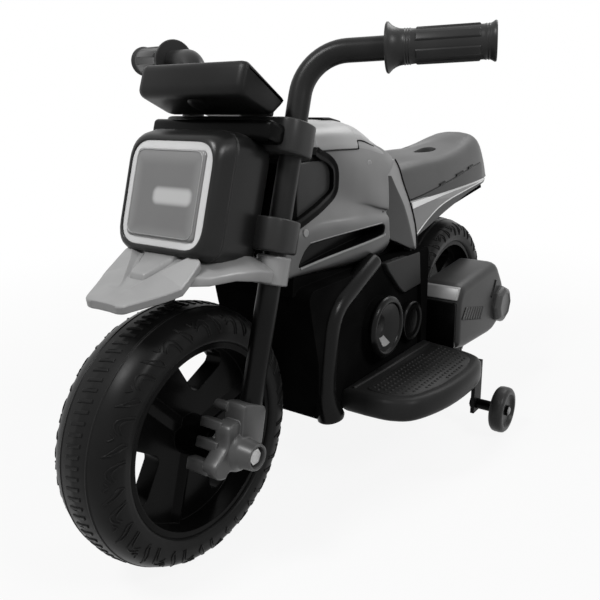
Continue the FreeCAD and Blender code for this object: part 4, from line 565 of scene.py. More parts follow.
class Form:
    """Points and faces of one piece in millimetres, closed into an object at the end."""

    def __init__(self) -> None:
        """Start with nothing."""
        self.mesh = bmesh.new()

    def rows(self, rows: Sequence[Sequence[Any]], ring: bool = False, caps: bool = False) -> "Form":
        """Join rows of points by faces.

        Args:
            rows: Rows with the same number of points.
            ring: Whether each row closes on itself.
            caps: Whether the first and last row are filled.

        Returns:
            This form.
        """
        grid = [[self.mesh.verts.new(Vector(point) * MM) for point in row] for row in rows]
        width = len(grid[0])
        for low, high in zip(grid, grid[1:]):
            for i in range(width if ring else width - 1):
                j = (i + 1) % width
                self.mesh.faces.new((low[i], low[j], high[j], high[i]))
        if caps:
            self.mesh.faces.new(grid[0][::-1])
            self.mesh.faces.new(grid[-1])
        return self

    def solid(self, rings: Sequence[Sequence[Any]]) -> "Form":
        """Closed body of rings of points."""
        return self.rows(rings, ring=True, caps=True)

    def turned(self, profile: Sequence[Flat], place: Matrix, steps: int = 48) -> "Form":
        """Turn a profile of (along, radius) about the x axis of a place."""
        rows = []
        for k in range(steps + 1):
            turn = math.tau * (k % steps) / steps
            rows.append([place @ Vector((along, radius * math.cos(turn), radius * math.sin(turn)))
                         for along, radius in profile])
        return self.rows(rows)

    def slab(self, outline: Sequence[Any], away: Point) -> "Form":
        """Closed prism of an outline carried along a way."""
        far = [Vector(point) + Vector(away) for point in outline]
        return self.solid([outline, far])

    def block(self, place: Matrix, half: float, span: Flat, level: float, tall: float) -> "Form":
        """Block across the middle plane of a place, from its foot level up."""
        low, high = span
        corners = ((-half, low), (half, low), (half, high), (-half, high))
        foot = [place @ Vector((x, y, level)) for x, y in corners]
        return self.slab(foot, place.to_3x3() @ Vector((0.0, 0.0, tall)))

    def stack(self, outline: Sequence[Vector], levels: Sequence[Flat],
              lift: Callable[[Vector, float], Any]) -> "Form":
        """Closed body of one flat outline drawn in by a depth at each level.

        Args:
            outline: Closed flat outline.
            levels: Pairs of height and inset.
            lift: Gives the place of a flat point at a height.

        Returns:
            This form.
        """
        rings = [[lift(point, height) for point in inset(outline, depth)] for height, depth in levels]
        return self.solid(rings)

    def tube(self, path: Sequence[Any], radius: float | Sequence[float], sides: int = 8) -> "Form":
        """Round bar along a path, of one radius or one for each point, closed at its ends."""
        line = [Vector(point) for point in path]
        radii = [radius] * len(line) if isinstance(radius, float) else radius
        across = (line[1] - line[0]).orthogonal().normalized()
        rows = []
        for i, point in enumerate(line):
            way = (line[min(i + 1, len(line) - 1)] - line[max(i - 1, 0)]).normalized()
            across = (across - way * across.dot(way)).normalized()
            other = way.cross(across)
            turns = [math.tau * k / sides for k in range(sides)]
            rows.append([point + (across * math.cos(t) + other * math.sin(t)) * radii[i] for t in turns])
        return self.solid(rows)

    def settled(self) -> "Form":
        """Merge doubles and turn the faces outwards."""
        bmesh.ops.remove_doubles(self.mesh, verts=self.mesh.verts, dist=WELD_MM * MM)
        bmesh.ops.recalc_face_normals(self.mesh, faces=self.mesh.faces)
        return self

    def softened(self, width: float, segments: int = 3, limit: float = 35.0) -> "Form":
        """Round the edges that turn by more than a limit in degrees."""
        self.settled()
        bend = math.radians(limit)
        sharp = [edge for edge in self.mesh.edges
                 if len(edge.link_faces) == 2 and edge.calc_face_angle(0.0) > bend]
        bmesh.ops.bevel(self.mesh, geom=sharp, offset=width * MM, segments=segments, profile=0.5,
                        affect="EDGES", clamp_overlap=True)
        return self

    def made(self, name: str, angle: float = SHARP_ANGLE) -> bpy.types.Object:
        """Close the form into an object with smooth shading."""
        self.settled()
        data = bpy.data.meshes.new(name)
        self.mesh.to_mesh(data)
        self.mesh.free()
        return shaded(new_object(name, data), angle)


def new_object(name: str, data: bpy.types.Mesh) -> bpy.types.Object:
    """Object of a mesh, linked to the scene."""
    part = bpy.data.objects.new(name, data)
    bpy.context.scene.collection.objects.link(part)
    return part


def shaded(part: bpy.types.Object, angle: float) -> bpy.types.Object:
    """Shade a piece smooth, and sharp at edges over an angle in degrees."""
    part.data.shade_smooth()
    part.data.set_sharp_from_angle(angle=math.radians(angle))
    return part


def evaluated(part: bpy.types.Object) -> bpy.types.Object:
    """Turn a piece's modifiers into its mesh."""
    bpy.context.view_layer.update()
    graph = bpy.context.evaluated_depsgraph_get()
    data = bpy.data.meshes.new_from_object(part.evaluated_get(graph))
    part.modifiers.clear()
    part.data = data
    return part


def carved(part: bpy.types.Object, cutters: Sequence[Form]) -> bpy.types.Object:
    """Cut shapes out of a piece."""
    tools = [cutter.made("cutter") for cutter in cutters]
    for tool in tools:
        cut = part.modifiers.new("cut", "BOOLEAN")
        cut.operation = "DIFFERENCE"
        cut.solver = "MANIFOLD"
        cut.object = tool
    evaluated(part)
    for tool in tools:
        bpy.data.objects.remove(tool)
    return shaded(part, CRISP_ANGLE)


def mirrored(part: bpy.types.Object, name: str) -> bpy.types.Object:
    """Copy of a piece on the other side of the bike."""
    mesh = bmesh.new()
    mesh.from_mesh(part.data)
    bmesh.ops.transform(mesh, matrix=Matrix.Scale(-1.0, 4, (1, 0, 0)), verts=mesh.verts)
    bmesh.ops.reverse_faces(mesh, faces=mesh.faces)
    data = bpy.data.meshes.new(name)
    mesh.to_mesh(data)
    mesh.free()
    return new_object(name, data)


class Surface:
    """Finds how far out a piece's left face is."""

    def __init__(self, part: bpy.types.Object) -> None:
        """Take the faces as they are now."""
        points = [vertex.co.copy() for vertex in part.data.vertices]
        self.tree = BVHTree.FromPolygons(points, [tuple(face.vertices) for face in part.data.polygons])

    def reach(self, y: float, z: float, spare: float) -> float:
        """Distance from the middle plane, or a spare one where nothing is met."""
        spot = self.tree.ray_cast(Vector((FAR_X, y, z)) * MM, Vector((-1.0, 0.0, 0.0)))[0]
        return spot.x / MM if spot else spare


class Pattern:
    """A Geometry Nodes tree that repeats a small shape, with named inputs."""

    def __init__(self, name: str, inputs: dict[str, str]) -> None:
        """Make the tree with its inputs and its one output."""
        self.tree = bpy.data.node_groups.new(name, "GeometryNodeTree")
        for label, kind in inputs.items():
            self.tree.interface.new_socket(label, in_out="INPUT", socket_type=kind)
        self.tree.interface.new_socket("Geometry", in_out="OUTPUT", socket_type="NodeSocketGeometry")
        self.given = self.tree.nodes.new("NodeGroupInput")

    def node(self, kind: str, settings: dict[str, Any], sockets: dict[Any, Any]) -> bpy.types.Node:
        """Add a node whose sockets take numbers, other nodes' outputs or the tree's inputs."""
        made = self.tree.nodes.new(kind)
        for key, setting in settings.items():
            setattr(made, key, setting)
        for key, given in sockets.items():
            if isinstance(given, str):
                given = self.given.outputs[given]
            if isinstance(given, bpy.types.NodeSocket):
                self.tree.links.new(given, made.inputs[key])
            else:
                made.inputs[key].default_value = given
        return made

    def close(self, instances: bpy.types.Node) -> "Pattern":
        """Make the instances real, give them the material and end the tree."""
        real = self.node("GeometryNodeRealizeInstances", {}, {0: instances.outputs[0]})
        sockets = {"Geometry": real.outputs[0], "Material": "Material"}
        finished = self.node("GeometryNodeSetMaterial", {}, sockets)
        out = self.tree.nodes.new("NodeGroupOutput")
        self.tree.links.new(finished.outputs[0], out.inputs[0])
        return self

    def grow(self, part: bpy.types.Object, values: dict[str, Any]) -> bpy.types.Object:
        """Run the tree on an object and keep the plain mesh.

        Args:
            part: Object whose mesh goes into the tree.
            values: Values of the tree's inputs by name.

        Returns:
            The same object with the repeated shape.
        """
        modifier = part.modifiers.new("pattern", "NODES")
        modifier.node_group = self.tree
        for item in self.tree.interface.items_tree:
            if item.in_out == "INPUT" and item.name in values:
                modifier[item.identifier] = values[item.name]
        return shaded(evaluated(part), 50.0)


def ring_pattern() -> Pattern:
    """Tree that turns a shape about the x axis through a centre."""
    kinds = {"Shape": "NodeSocketGeometry", "Count": "NodeSocketInt", "Centre": "NodeSocketVector",
             "Material": "NodeSocketMaterial"}
    tree = Pattern("ring of shapes", kinds)
    points = tree.node("GeometryNodePoints", {}, {"Count": "Count", "Position": "Centre"})
    index = tree.node("GeometryNodeInputIndex", {}, {})
    share = tree.node("ShaderNodeMath", {"operation": "DIVIDE"}, {0: index.outputs[0], 1: "Count"})
    turn = tree.node("ShaderNodeMath", {"operation": "MULTIPLY"}, {0: share.outputs[0], 1: math.tau})
    euler = tree.node("ShaderNodeCombineXYZ", {}, {"X": turn.outputs[0]})
    way = tree.node("FunctionNodeEulerToRotation", {}, {0: euler.outputs[0]})
    return tree.close(tree.node("GeometryNodeInstanceOnPoints", {}, {
        "Points": points.outputs[0], "Instance": "Shape", "Rotation": way.outputs[0]}))


def stud_pattern() -> Pattern:
    """Tree that sets a low dome on every point of a mesh."""
    kinds = {"Points": "NodeSocketGeometry", "Radius": "NodeSocketFloat", "Rise": "NodeSocketVector",
             "Material": "NodeSocketMaterial"}
    tree = Pattern("field of studs", kinds)
    points = tree.node("GeometryNodeMeshToPoints", {}, {"Mesh": "Points"})
    dome = tree.node("GeometryNodeMeshUVSphere", {}, {"Segments": 8, "Rings": 6, "Radius": "Radius"})
    return tree.close(tree.node("GeometryNodeInstanceOnPoints", {}, {
        "Points": points.outputs[0], "Instance": dome.outputs[0], "Scale": "Rise"}))


class Workshop:
    """Finishes pieces: their material, which their slot picks unless a finish is named, their body and the
    nodes that they stand for.
    """

    def __init__(self, palette: Palette) -> None:
        """Keep the finishes and build the repeating patterns."""
        self.palette = palette
        self.ring = ring_pattern()
        self.studs = stud_pattern()

    def keep(self, part: bpy.types.Object, body: Body, slot: Slot, finish: str = "",
             nodes: Sequence[str] = ()) -> None:
        """Dress a piece and join it to a body.

        Args:
            part: The piece.
            body: Body that it rides on.
            slot: Record slot of its finish.
            finish: Name of the finish in the palette, or nothing for the slot's own.
            nodes: Nodes of the frame that it stands for.
        """
        part.data.materials.clear()
        part.data.materials.append(self.palette[finish or SLOT_FINISH[slot]])
        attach(part, body.value)
        if nodes:
            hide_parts(*nodes)
        LOG.info("piece %s on %s with %d faces", part.name, body.value, len(part.data.polygons))

    def keep_pair(self, left: bpy.types.Object, body: Body, slot: Slot, finish: str = "",
                  nodes: Sequence[str] = (), twin_nodes: Sequence[str] = ()) -> None:
        """Keep a left piece and its mirrored twin, each for its own nodes."""
        right = mirrored(left, left.name.replace("_left", "_right"))
        self.keep(left, body, slot, finish, nodes)
        self.keep(right, body, slot, finish, twin_nodes)


# Steering side

RAKE = 17.5
DASH_TILT = 33.0
STEER = Matrix.Translation((0.0, -234.32257, 116.85916)) @ Matrix.Rotation(math.radians(-RAKE), 4, "X")
DASH = Matrix.Translation((0.0, -206.0, 457.5)) @ Matrix.Rotation(math.radians(-DASH_TILT), 4, "X")


def steered(x: float, y: float, w: float) -> Vector:
    """Place of a point given in the raked frame of the fork."""
    return STEER @ Vector((x, y, w))


def steered_side(p: Vector, x: float) -> Vector:
    """Place of a point of a side outline in the fork's frame, at a distance from the middle."""
    return steered(x, p.x, p.y)


def steered_plan(p: Vector, w: float) -> Vector:
    """Place of a point of a plan in the fork's frame, at a height along the stem."""
    return steered(p.x, p.y, w)


@dataclass
class Tyre:
    """A moulded tyre with its tread bars, seams and side marks."""

    node: str
    body: Body
    centre_y: float
    centre_z: float = 130.0
    half: Line = (
        (34.0, 95.0), (36.8, 96.6), (38.0, 101.0), (38.5, 107.0), (36.4, 116.0), (29.6, 122.4),
        (17.0, 127.0), (0.0, 129.0))
    steps: int = 112
    seam_x: float = 17.0
    seam_r: float = 0.9
    seam_sunk: float = 0.2
    bar_count: int = 84
    bar: float = 8.8
    bar_half: float = 2.0
    bar_lean: float = 1.6
    bar_draft: float = 0.6
    bar_sunk: float = 0.8
    bar_rise: float = 0.95
    mark_count: int = 18
    marks: tuple[Line, ...] = (
        ((-4.5, 0.30), (-2.0, 0.10), (1.0, 0.12), (3.2, 0.40), (4.6, 0.85)),
        ((-4.0, 0.45), (-1.8, 0.27), (0.6, 0.31), (2.3, 0.56), (3.3, 0.88)),
        ((6.0, -0.05), (8.3, 0.36), (10.3, 0.64), (11.4, 0.84)),
        ((6.2, -0.02), (9.8, 0.28), (12.2, 0.56), (11.4, 0.84)),
        ((12.6, 0.02), (14.2, 0.18), (15.8, 0.06)))
    mark_r: Flat = (121.8, 102.0)
    mark_rise: float = 0.2
    mark_wire: float = 0.85

    def section(self) -> list[Vector]:
        """Smooth half profile from the foot to the crown, as (x, radius)."""
        return spline(self.half, 6)

    def radius_at(self, x: float) -> float:
        """Radius of the tread at a distance from the middle."""
        return line_at(self.section()[::-1], x)

    def side(self, turn: float, share: float) -> Vector:
        """Place on the side wall at a turn in degrees and a share of the marked height."""
        radius = self.mark_r[0] + (self.mark_r[1] - self.mark_r[0]) * share
        x = line_at([(p.y, p.x) for p in self.section()], radius)
        angle = math.radians(turn)
        return Vector((x, radius * math.sin(angle), radius * math.cos(angle)))

    def tread_bar(self) -> Form:
        """One leaning bar across the crown."""
        feet, tops = [], []
        ends = (-1.0, -0.5, 0.0, 0.5, 1.0)
        for x, t in [(x, -1) for x in ends] + [(x, 1) for x in ends[::-1]]:
            radius = self.radius_at(abs(x) * self.bar)
            lean = x * self.bar_lean
            feet.append((x * self.bar, t * self.bar_half + lean, radius - self.bar_sunk))
            tops.append((x * (self.bar - self.bar_draft), t * (self.bar_half - self.bar_draft) + lean,
                         radius + self.bar_rise))
        return Form().solid([feet, tops])

    def mark_group(self) -> Form:
        """One group of raised lines on both side walls."""
        form = Form()
        for sign in (-1.0, 1.0):
            for line in self.marks:
                path = [self.side(turn, share) for turn, share in spline(line, 2)]
                form.tube([(sign * (p.x + self.mark_rise), p.y, p.z) for p in path], self.mark_wire, 6)
        return form

    def build(self, shop: Workshop) -> None:
        """Make the tyre, its tread bars and its side marks."""
        half = self.section()
        whole = half + [Vector((-p.x, p.y)) for p in half[-2::-1]]
        hub = Matrix.Translation((0.0, self.centre_y, self.centre_z))
        form = Form().turned([tuple(p) for p in whole + whole[:1]], hub, self.steps)
        seam_at = self.radius_at(self.seam_x) - self.seam_sunk
        for x in (-self.seam_x, self.seam_x):
            form.turned(circle((x, seam_at), self.seam_r, 8), hub, self.steps)
        tyre = form.made(f"{self.body.value}_tyre", 50.0)
        shop.keep(tyre, self.body, Slot.TYRE_BLACK, nodes=(self.node,))
        values = {"Centre": hub.translation * MM, "Material": shop.palette[SLOT_FINISH[Slot.TYRE_BLACK]]}
        for shape, name, count in ((self.tread_bar(), "tread_bars", self.bar_count),
                                   (self.mark_group(), "side_marks", self.mark_count)):
            part = shop.ring.grow(shape.made(f"{self.body.value}_{name}"), {**values, "Count": count})
            shop.keep(part, self.body, Slot.TYRE_BLACK)


@dataclass
class Headlight:
    """The square lamp body with its front lip and seam, the shelf over it and its lens."""

    middle_w: float = 222.8
    corner: float = 22.1
    stations: tuple[tuple[float, float, float, float], ...] = (
        (-100.0, 50.6, 48.1, 0.0), (-113.2, 50.6, 48.1, 0.0), (-114.0, 51.4, 48.9, 0.0),
        (-113.4, 53.6, 51.1, 0.0),
        (-111.4, 55.4, 53.2, 0.4), (-107.0, 57.2, 55.8, 1.2), (-95.2, 60.4, 59.6, 3.0),
        (-94.7, 59.4, 58.6, 3.0),
        (-93.5, 59.4, 58.6, 3.0), (-93.0, 60.2, 59.4, 3.0), (-80.0, 61.0, 60.6, 4.4),
        (-62.0, 60.6, 60.6, 4.4),
        (-49.5, 60.0, 60.0, 4.4), (-47.6, 59.0, 59.0, 4.4), (-47.0, 57.0, 57.0, 4.4))
    bead: Flat = (41.0, 38.6)
    bead_corner: float = 9.1
    bead_r: float = 0.55
    shelf: Line = ((-74.0, 283.0), (-44.0, 283.0), (-44.0, 301.5), (-74.0, 301.5))
    shelf_half: float = 75.0
    shelf_edge: Line = ((0.0, 4.0), (1.2, 1.2), (4.0, 0.0))
    lens: LampLens = LampLens("cloudy lamp lens", (0.0, -278.2, 361.9), RAKE, (17.8, 1.5), (42.5, 40.0))

    def outline(self, half: Flat, corner: float) -> list[Vector]:
        """Rounded square."""
        x, w = half
        return filleted([(-x, -w), (x, -w), (x, w), (-x, w)], corner, 7)

    def build(self, shop: Workshop) -> None:
        """Make the body, the shelf and the bead, and give the lens its cloudy finish."""
        rings = []
        for y, half_x, half_w, lift in self.stations:
            outline = self.outline((half_x, half_w), self.corner)
            rings.append([steered(p.x, y, self.middle_w + lift + p.y) for p in outline])
        shop.keep(Form().solid(rings).made("headlight_body", CRISP_ANGLE), Body.STEERING, Slot.SATIN_BLACK,
                  "lamp grey moulding", ("headlight_bezel", "headlight_housing"))
        levels = both_ends(self.shelf_edge, self.shelf_half)
        shelf = Form().stack(filleted(self.shelf, 5.0, 4), levels, steered_side)
        shop.keep(shelf.made("lamp_shelf", 32.0), Body.STEERING, Slot.GLOSS_BLACK)
        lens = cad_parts["headlight_lens"]
        back = STEER.inverted()
        front = min((back @ (vertex.co / MM)).y for vertex in lens.data.vertices)
        loop = self.outline(self.bead, self.bead_corner)
        path = [steered(p.x, front, self.middle_w + p.y) for p in loop + loop[:2]]
        bead = Form().tube(path, self.bead_r, 8)
        shop.keep(bead.made("lens_bead"), Body.STEERING, Slot.PALE_RING, "silver moulding")
        cloudy = shop.palette.add(self.lens)
        for slot in lens.material_slots:
            slot.material = cloudy


@dataclass
class DashCase:
    """The dash over the upper yoke, with its pocket for the switches and its neck."""

    half: float = 66.0
    outline: Line = ((-34.0, 3.0), (34.0, 3.0), (21.5, -22.0), (-27.0, -28.5))
    corner: float = 9.0
    edge: Line = ((0.0, 7.0), (1.3, 3.0), (4.0, 0.8), (8.5, 0.0))
    plate: Point = (59.0, 28.7, 2.5)
    plate_room: float = 20.0
    pocket_y: Flat = (-22.5, 18.0)
    pocket: Flat = (55.5, 17.0)
    pocket_room: float = 30.0
    neck_half: float = 42.0
    neck_y: Flat = (-52.0, -30.0)
    neck_w: float = 314.5
    neck_tall: float = 9.0
    dome: Line = ((-2.0, 14.0), (1.5, 13.5), (4.0, 10.0), (5.0, 5.0), (5.4, 0.0))
    dome_at: Flat = (-7.0, -23.4)

    def build(self, shop: Workshop) -> None:
        """Make the case with its seat for the plate, and the neck under it."""
        form = Form().stack(filleted(self.outline, self.corner, 5), both_ends(self.edge, self.half),
                            lambda p, x: DASH @ Vector((x, p.x, p.y)))
        x, y, deep = self.plate
        seat = Form().block(DASH, x, (-y, y), -deep, self.plate_room)
        x, deep = self.pocket
        room = Form().block(DASH, x, self.pocket_y, -deep, self.pocket_room)
        case = carved(form.made("dash_body", CRISP_ANGLE), [seat, room])
        shop.keep(case, Body.STEERING, Slot.SATIN_BLACK, "dash grey moulding", ("dash_case",))
        neck = Form().block(STEER, self.neck_half, self.neck_y, self.neck_w, self.neck_tall).softened(2.5)
        y, z = self.dome_at
        below = Matrix(((0, 1, 0, 0), (0, 0, 1, y), (-1, 0, 0, z), (0, 0, 0, 1)))
        neck.turned(self.dome, DASH @ below, 32)
        part = neck.made("dash_neck", CRISP_ANGLE)
        shop.keep(part, Body.STEERING, Slot.SATIN_BLACK, "dash grey moulding")


@dataclass
class Yokes:
    """The two broad clamps that hold the fork tubes, with the bosses round the stem."""

    outline: Line = ((86.0, -9.0), (86.0, -54.0), (-86.0, -54.0), (-86.0, -9.0))
    corner: float = 19.0
    rear: Line = ((-57.0, -10.6), (-48.0, -14.0), (48.0, -14.0), (57.0, -10.6))
    levels: Line = (
        (0.0, 2.6), (0.5, 1.2), (1.8, 0.2), (2.8, 0.0), (29.0, 0.0), (30.6, 0.4), (31.6, 1.8))
    low: Flat = (187.0, 278.0)
    boss: float = 16.0
    boss_front: float = -12.0
    boss_high: Flat = (219.0, 315.0)
    boss_edge: float = 0.6

    def build(self, shop: Workshop) -> None:
        """Make both clamps."""
        plan = filleted(self.outline, self.corner, 8) + [Vector(point) for point in self.rear]
        arch = circle((0.0, 0.0), self.boss, 16, math.pi)
        boss = [Vector(p) for p in ((self.boss, self.boss_front), *arch, (-self.boss, self.boss_front))]
        edge = self.boss_edge
        for name, low, high in zip(("lower", "upper"), self.low, self.boss_high):
            form = Form().stack(plan, [(low + w, depth) for w, depth in self.levels], steered_plan)
            levels = ((low, edge), (low + edge, 0.0), (high - edge, 0.0), (high, edge))
            clamp = form.stack(boss, levels, steered_plan).made(f"{name}_clamp", 40.0)
            shop.keep(clamp, Body.STEERING, Slot.SATIN_BLACK, "yoke grey moulding", (f"{name}_yoke",))


@dataclass
class Grip:
    """A handlebar grip with its flange, finger panels and end."""

    side: str
    profile: Line = (
        (0.0, 0.0), (0.0, 21.6), (0.8, 22.5), (2.2, 22.5), (3.4, 21.2), (5.5, 19.2), (8.5, 17.4),
        (12.0, 16.2),
        (15.6, 15.7), (16.8, 16.2), (18.0, 15.5), (19.2, 16.1), (20.2, 15.5), (21.4, 16.1), (22.6, 15.4),
        (30.0, 15.0), (86.0, 15.0), (88.0, 15.5), (89.2, 15.0), (90.4, 15.6), (91.6, 15.3), (93.4, 16.2),
        (95.2, 17.4), (96.4, 17.5), (97.1, 17.0), (97.3, 16.2), (97.3, 0.0))
    panel_count: int = 6
    panel: Point = (26.0, 84.0, 4.4)
    panel_levels: Path = ((14.0, 0.0, 0.0), (16.1, 1.5, 0.8))
    sweep: float = 22.2
    rise: float = 1.8
    bend: Point = (67.0, -28.0, 376.0)
    to_grip: float = 74.7

    def place(self) -> Matrix:
        """Frame of the grip's axis, from the bar's bend outwards."""
        sign = 1.0 if self.side == "left" else -1.0
        sweep, rise = math.radians(self.sweep), math.radians(self.rise)
        level = math.cos(rise)
        way = Vector((math.cos(sweep) * level * sign, math.sin(sweep) * level, math.sin(rise)))
        bend = steered(*self.bend)
        across = way.cross(Vector((0.0, 0.0, 1.0))).normalized()
        rows = Matrix((way, across, way.cross(across))).transposed().to_4x4()
        rows.translation = Vector((bend.x * sign, bend.y, bend.z)) + way * self.to_grip
        return rows

    def build(self, shop: Workshop) -> None:
        """Make the sleeve and its panels."""
        place = self.place()
        sleeve = Form().turned(self.profile, place, 40).made(f"grip_sleeve_{self.side}", 40.0)
        shop.keep(sleeve, Body.STEERING, Slot.GRIP_BLACK, nodes=(f"grip_{self.side}",))
        first, last, half = self.panel
        rings = []
        for radius, end, side in self.panel_levels:
            rings.append([(first + end, side - half, radius), (last - end, side - half, radius),
                          (last - end, half - side, radius), (first + end, half - side, radius)])
        panel = Form().solid(rings).softened(0.5, 2).made(f"grip_panels_{self.side}")
        part = shop.ring.grow(panel, {"Count": self.panel_count, "Centre": (0.0, 0.0, 0.0),
                                      "Material": shop.palette[SLOT_FINISH[Slot.GRIP_BLACK]]})
        part.data.transform(Matrix.Translation(place.translation * MM) @ place.to_3x3().to_4x4())
        shop.keep(part, Body.STEERING, Slot.GRIP_BLACK)


@dataclass
class Mudguard:
    """The front mudguard with its raised tongue, ridged wings, arms and fork collars."""

    stations: tuple[tuple[float, ...], ...] = (
        (-164.4, 121.2, 5.0, 7.0, 16.0, 0.4, 0.0), (-163.9, 121.8, 5.0, 7.0, 21.0, 0.5, 0.0),
        (-162.6, 122.9, 5.0, 7.0, 24.6, 0.6, 0.0), (-160.0, 125.0, 5.0, 7.0, 27.2, 0.9, 0.0),
        (-152.0, 130.0, 5.0, 7.0, 32.6, 1.6, 0.0), (-143.0, 135.6, 5.0, 7.5, 38.7, 2.4, 1.0),
        (-134.0, 142.0, 10.0, 14.0, 44.8, 3.6, 3.2), (-127.4, 147.4, 14.2, 19.4, 49.3, 4.6, 4.4),
        (-126.0, 148.5, 15.0, 20.6, 50.0, 4.8, 4.6), (-124.6, 149.7, 16.0, 21.7, 50.1, 4.2, 4.8),
        (-117.0, 156.9, 21.0, 28.8, 50.0, 2.0, 5.2), (-107.0, 167.0, 28.0, 39.0, 49.0, -1.0, 5.6))
    skin_mm: float = 7.5
    skin_way: Point = (0.0, 0.35, -0.94)
    lip: float = 1.5
    lip_run: float = 0.8
    tongue: Line = ((23.0, -105.0), (18.5, -114.0), (13.0, -124.0), (10.0, -130.5), (8.0, -132.0))
    tongue_levels: Line = ((1.0, -3.0), (0.93, 5.2))
    arm: tuple[Path, ...] = (
        ((34, -105, 167), (47, -116, 153), (47, -115, 144), (34, -105, 157)),
        ((42, -92, 170), (58, -102, 155), (58, -101, 147), (42, -92, 158)),
        ((49, -76, 176), (70, -82, 163), (70, -81, 155), (49, -76, 161)),
        ((54, -62, 181.5), (79, -62, 168), (79, -60, 157.5), (54, -60, 165)),
        ((54, -43, 182), (81, -43, 169), (81, -42, 157.5), (54, -42, 165)))
    collar: Point = (67.0, -28.0, 16.5)
    collar_w: Flat = (156.5, 184.0)
    collar_edge: float = 1.2
    bore: float = 11.3

    def guard(self) -> Form:
        """The skin with its ridges."""
        tops = []
        for y, w, inner, outer, side, drop, rise in self.stations:
            half = [(side, y, w - drop - self.lip), (side - self.lip_run, y, w - drop),
                    ((outer + side) / 2, y, w + (rise - drop) / 2), (outer, y, w + rise), (inner, y, w),
                    (0.0, y, w)]
            tops.append([steered(*point) for point in whole_row(half)])
        drop = STEER.to_3x3() @ Vector(self.skin_way) * self.skin_mm
        lip = STEER.to_3x3() @ Vector((0.0, 0.0, self.lip))
        rings = []
        for row in skin(tops, 1, 3):
            under = [point + drop for point in row]
            under[0] += lip
            under[-1] += lip
            rings.append(row + under[::-1])
        return Form().solid(rings).softened(0.6, 2, 60.0)

    def raised_tongue(self) -> Form:
        """The tongue along the guard's middle."""
        outline = list(self.tongue) + [(-x, y) for x, y in self.tongue[::-1]]
        rings = []
        for draft, rise in self.tongue_levels:
            rings.append([steered(x * draft, y, line_at(self.stations, y) + rise) for x, y in outline])
        return Form().solid(rings).softened(1.0)

    def fork_collar(self) -> Form:
        """The collar round the left fork tube."""
        x, y, radius = self.collar
        (low, high), edge = self.collar_w, self.collar_edge
        ring = [(low, self.bore), (low, radius - edge), (low + edge, radius), (high - edge, radius),
                (high, radius - edge), (high, self.bore), (low, self.bore)]
        upright = Matrix(((0, 1, 0, x), (0, 0, 1, y), (1, 0, 0, 0), (0, 0, 0, 1)))
        return Form().turned(ring, STEER @ upright, 40)

    def build(self, shop: Workshop) -> None:
        """Make the guard, its tongue, arms and collars."""
        shop.keep(self.guard().made("mudguard_skin", 14.0), Body.STEERING, Slot.SILVER, nodes=("mudguard",))
        shop.keep(self.raised_tongue().made("mudguard_tongue", CRISP_ANGLE), Body.STEERING, Slot.SILVER)
        arm = Form().solid([[steered(*point) for point in row] for row in self.arm]).softened(1.6)
        for form, name in ((arm, "mudguard_arm_left"), (self.fork_collar(), "mudguard_collar_left")):
            shop.keep_pair(form.made(name, CRISP_ANGLE), Body.STEERING, Slot.SILVER)


@dataclass
class ForkEnd:
    """The lower end of a fork leg: sleeve, lobed plate, axle boss and the bars behind it."""

    sleeve: Line = (
        (-54.0, 46.0), (-19.0, 43.0), (-16.7, 4.0), (-24.0, -4.0), (-48.0, -2.0), (-51.0, 26.0))
    sleeve_levels: Line = ((55.5, 2.5), (57.0, 0.6), (59.0, 0.0), (77.0, 0.0), (79.4, 0.8), (80.6, 3.0))
    plate: Line = (
        (-48.0, 29.0), (-57.2, 28.3), (-63.0, 25.4), (-65.8, 19.2), (-64.0, 7.1), (-68.4, -0.8),
        (-75.5, -10.2),
        (-76.3, -15.7), (-72.2, -21.9), (-65.9, -24.6), (-58.6, -24.0), (-54.5, -18.6), (-44.0, -20.0),
        (-33.0, -18.5), (-24.0, -13.0), (-18.0, -4.0), (-19.0, 26.0))
    plate_levels: Line = ((59.0, 2.0), (60.5, 0.4), (62.0, 0.0), (73.0, 0.0), (75.4, 0.7), (76.6, 2.4))
    axle: Flat = (-43.7, 0.0)
    boss: Line = (
        (64.0, 0.0), (64.0, 18.0), (77.0, 18.0), (79.5, 15.5), (82.0, 14.2), (94.6, 13.0), (96.4, 12.4),
        (97.0, 11.4), (96.6, 10.2), (95.4, 9.5), (88.0, 9.3), (88.0, 0.0))
    pegs: Line = ((-50.0, 38.5), (-27.0, 36.0))
    pin: Line = ((44.0, 0.0), (44.0, 4.2), (45.0, 5.0), (60.0, 5.0), (60.0, 0.0))
    bars: tuple[tuple[float, float, float, float], ...] = (
        (-60.0, 22.0, 11.0, 9.0), (-61.0, 3.0, 12.0, 10.0), (-69.0, -16.0, 12.0, 12.0))
    bar_x: Flat = (40.0, 66.0)

    def build(self, shop: Workshop) -> None:
        """Make the ends of both legs."""
        end = Form().stack(filleted(self.sleeve, 7.0, 4), self.sleeve_levels, steered_side)
        end.stack(spline(self.plate, 3, True), self.plate_levels, steered_side)
        pins = [(peg, self.pin, 20) for peg in self.pegs]
        for spot, profile, steps in [(self.axle, self.boss, 40)] + pins:
            end.turned(profile, STEER @ Matrix.Translation((0.0, *spot)), steps)
        first, last = self.bar_x
        bars = Form()
        for y, w, wide, tall in self.bars:
            corners = ((-1, -1), (1, -1), (1, 1), (-1, 1))
            outline = [steered(first, y + wide / 2 * a, w + tall / 2 * b) for a, b in corners]
            bars.slab(outline, STEER.to_3x3() @ Vector((last - first, 0, 0)))
        finish = "bracket grey moulding"
        shop.keep_pair(end.made("fork_end_body_left", 32.0), Body.STEERING, Slot.DARK_GREY, finish,
                       ("fork_end_left",), ("fork_end_right",))
        beams = bars.softened(1.2).made("fork_end_bars_left", 32.0)
        shop.keep_pair(beams, Body.STEERING, Slot.DARK_GREY, finish)


# Body side

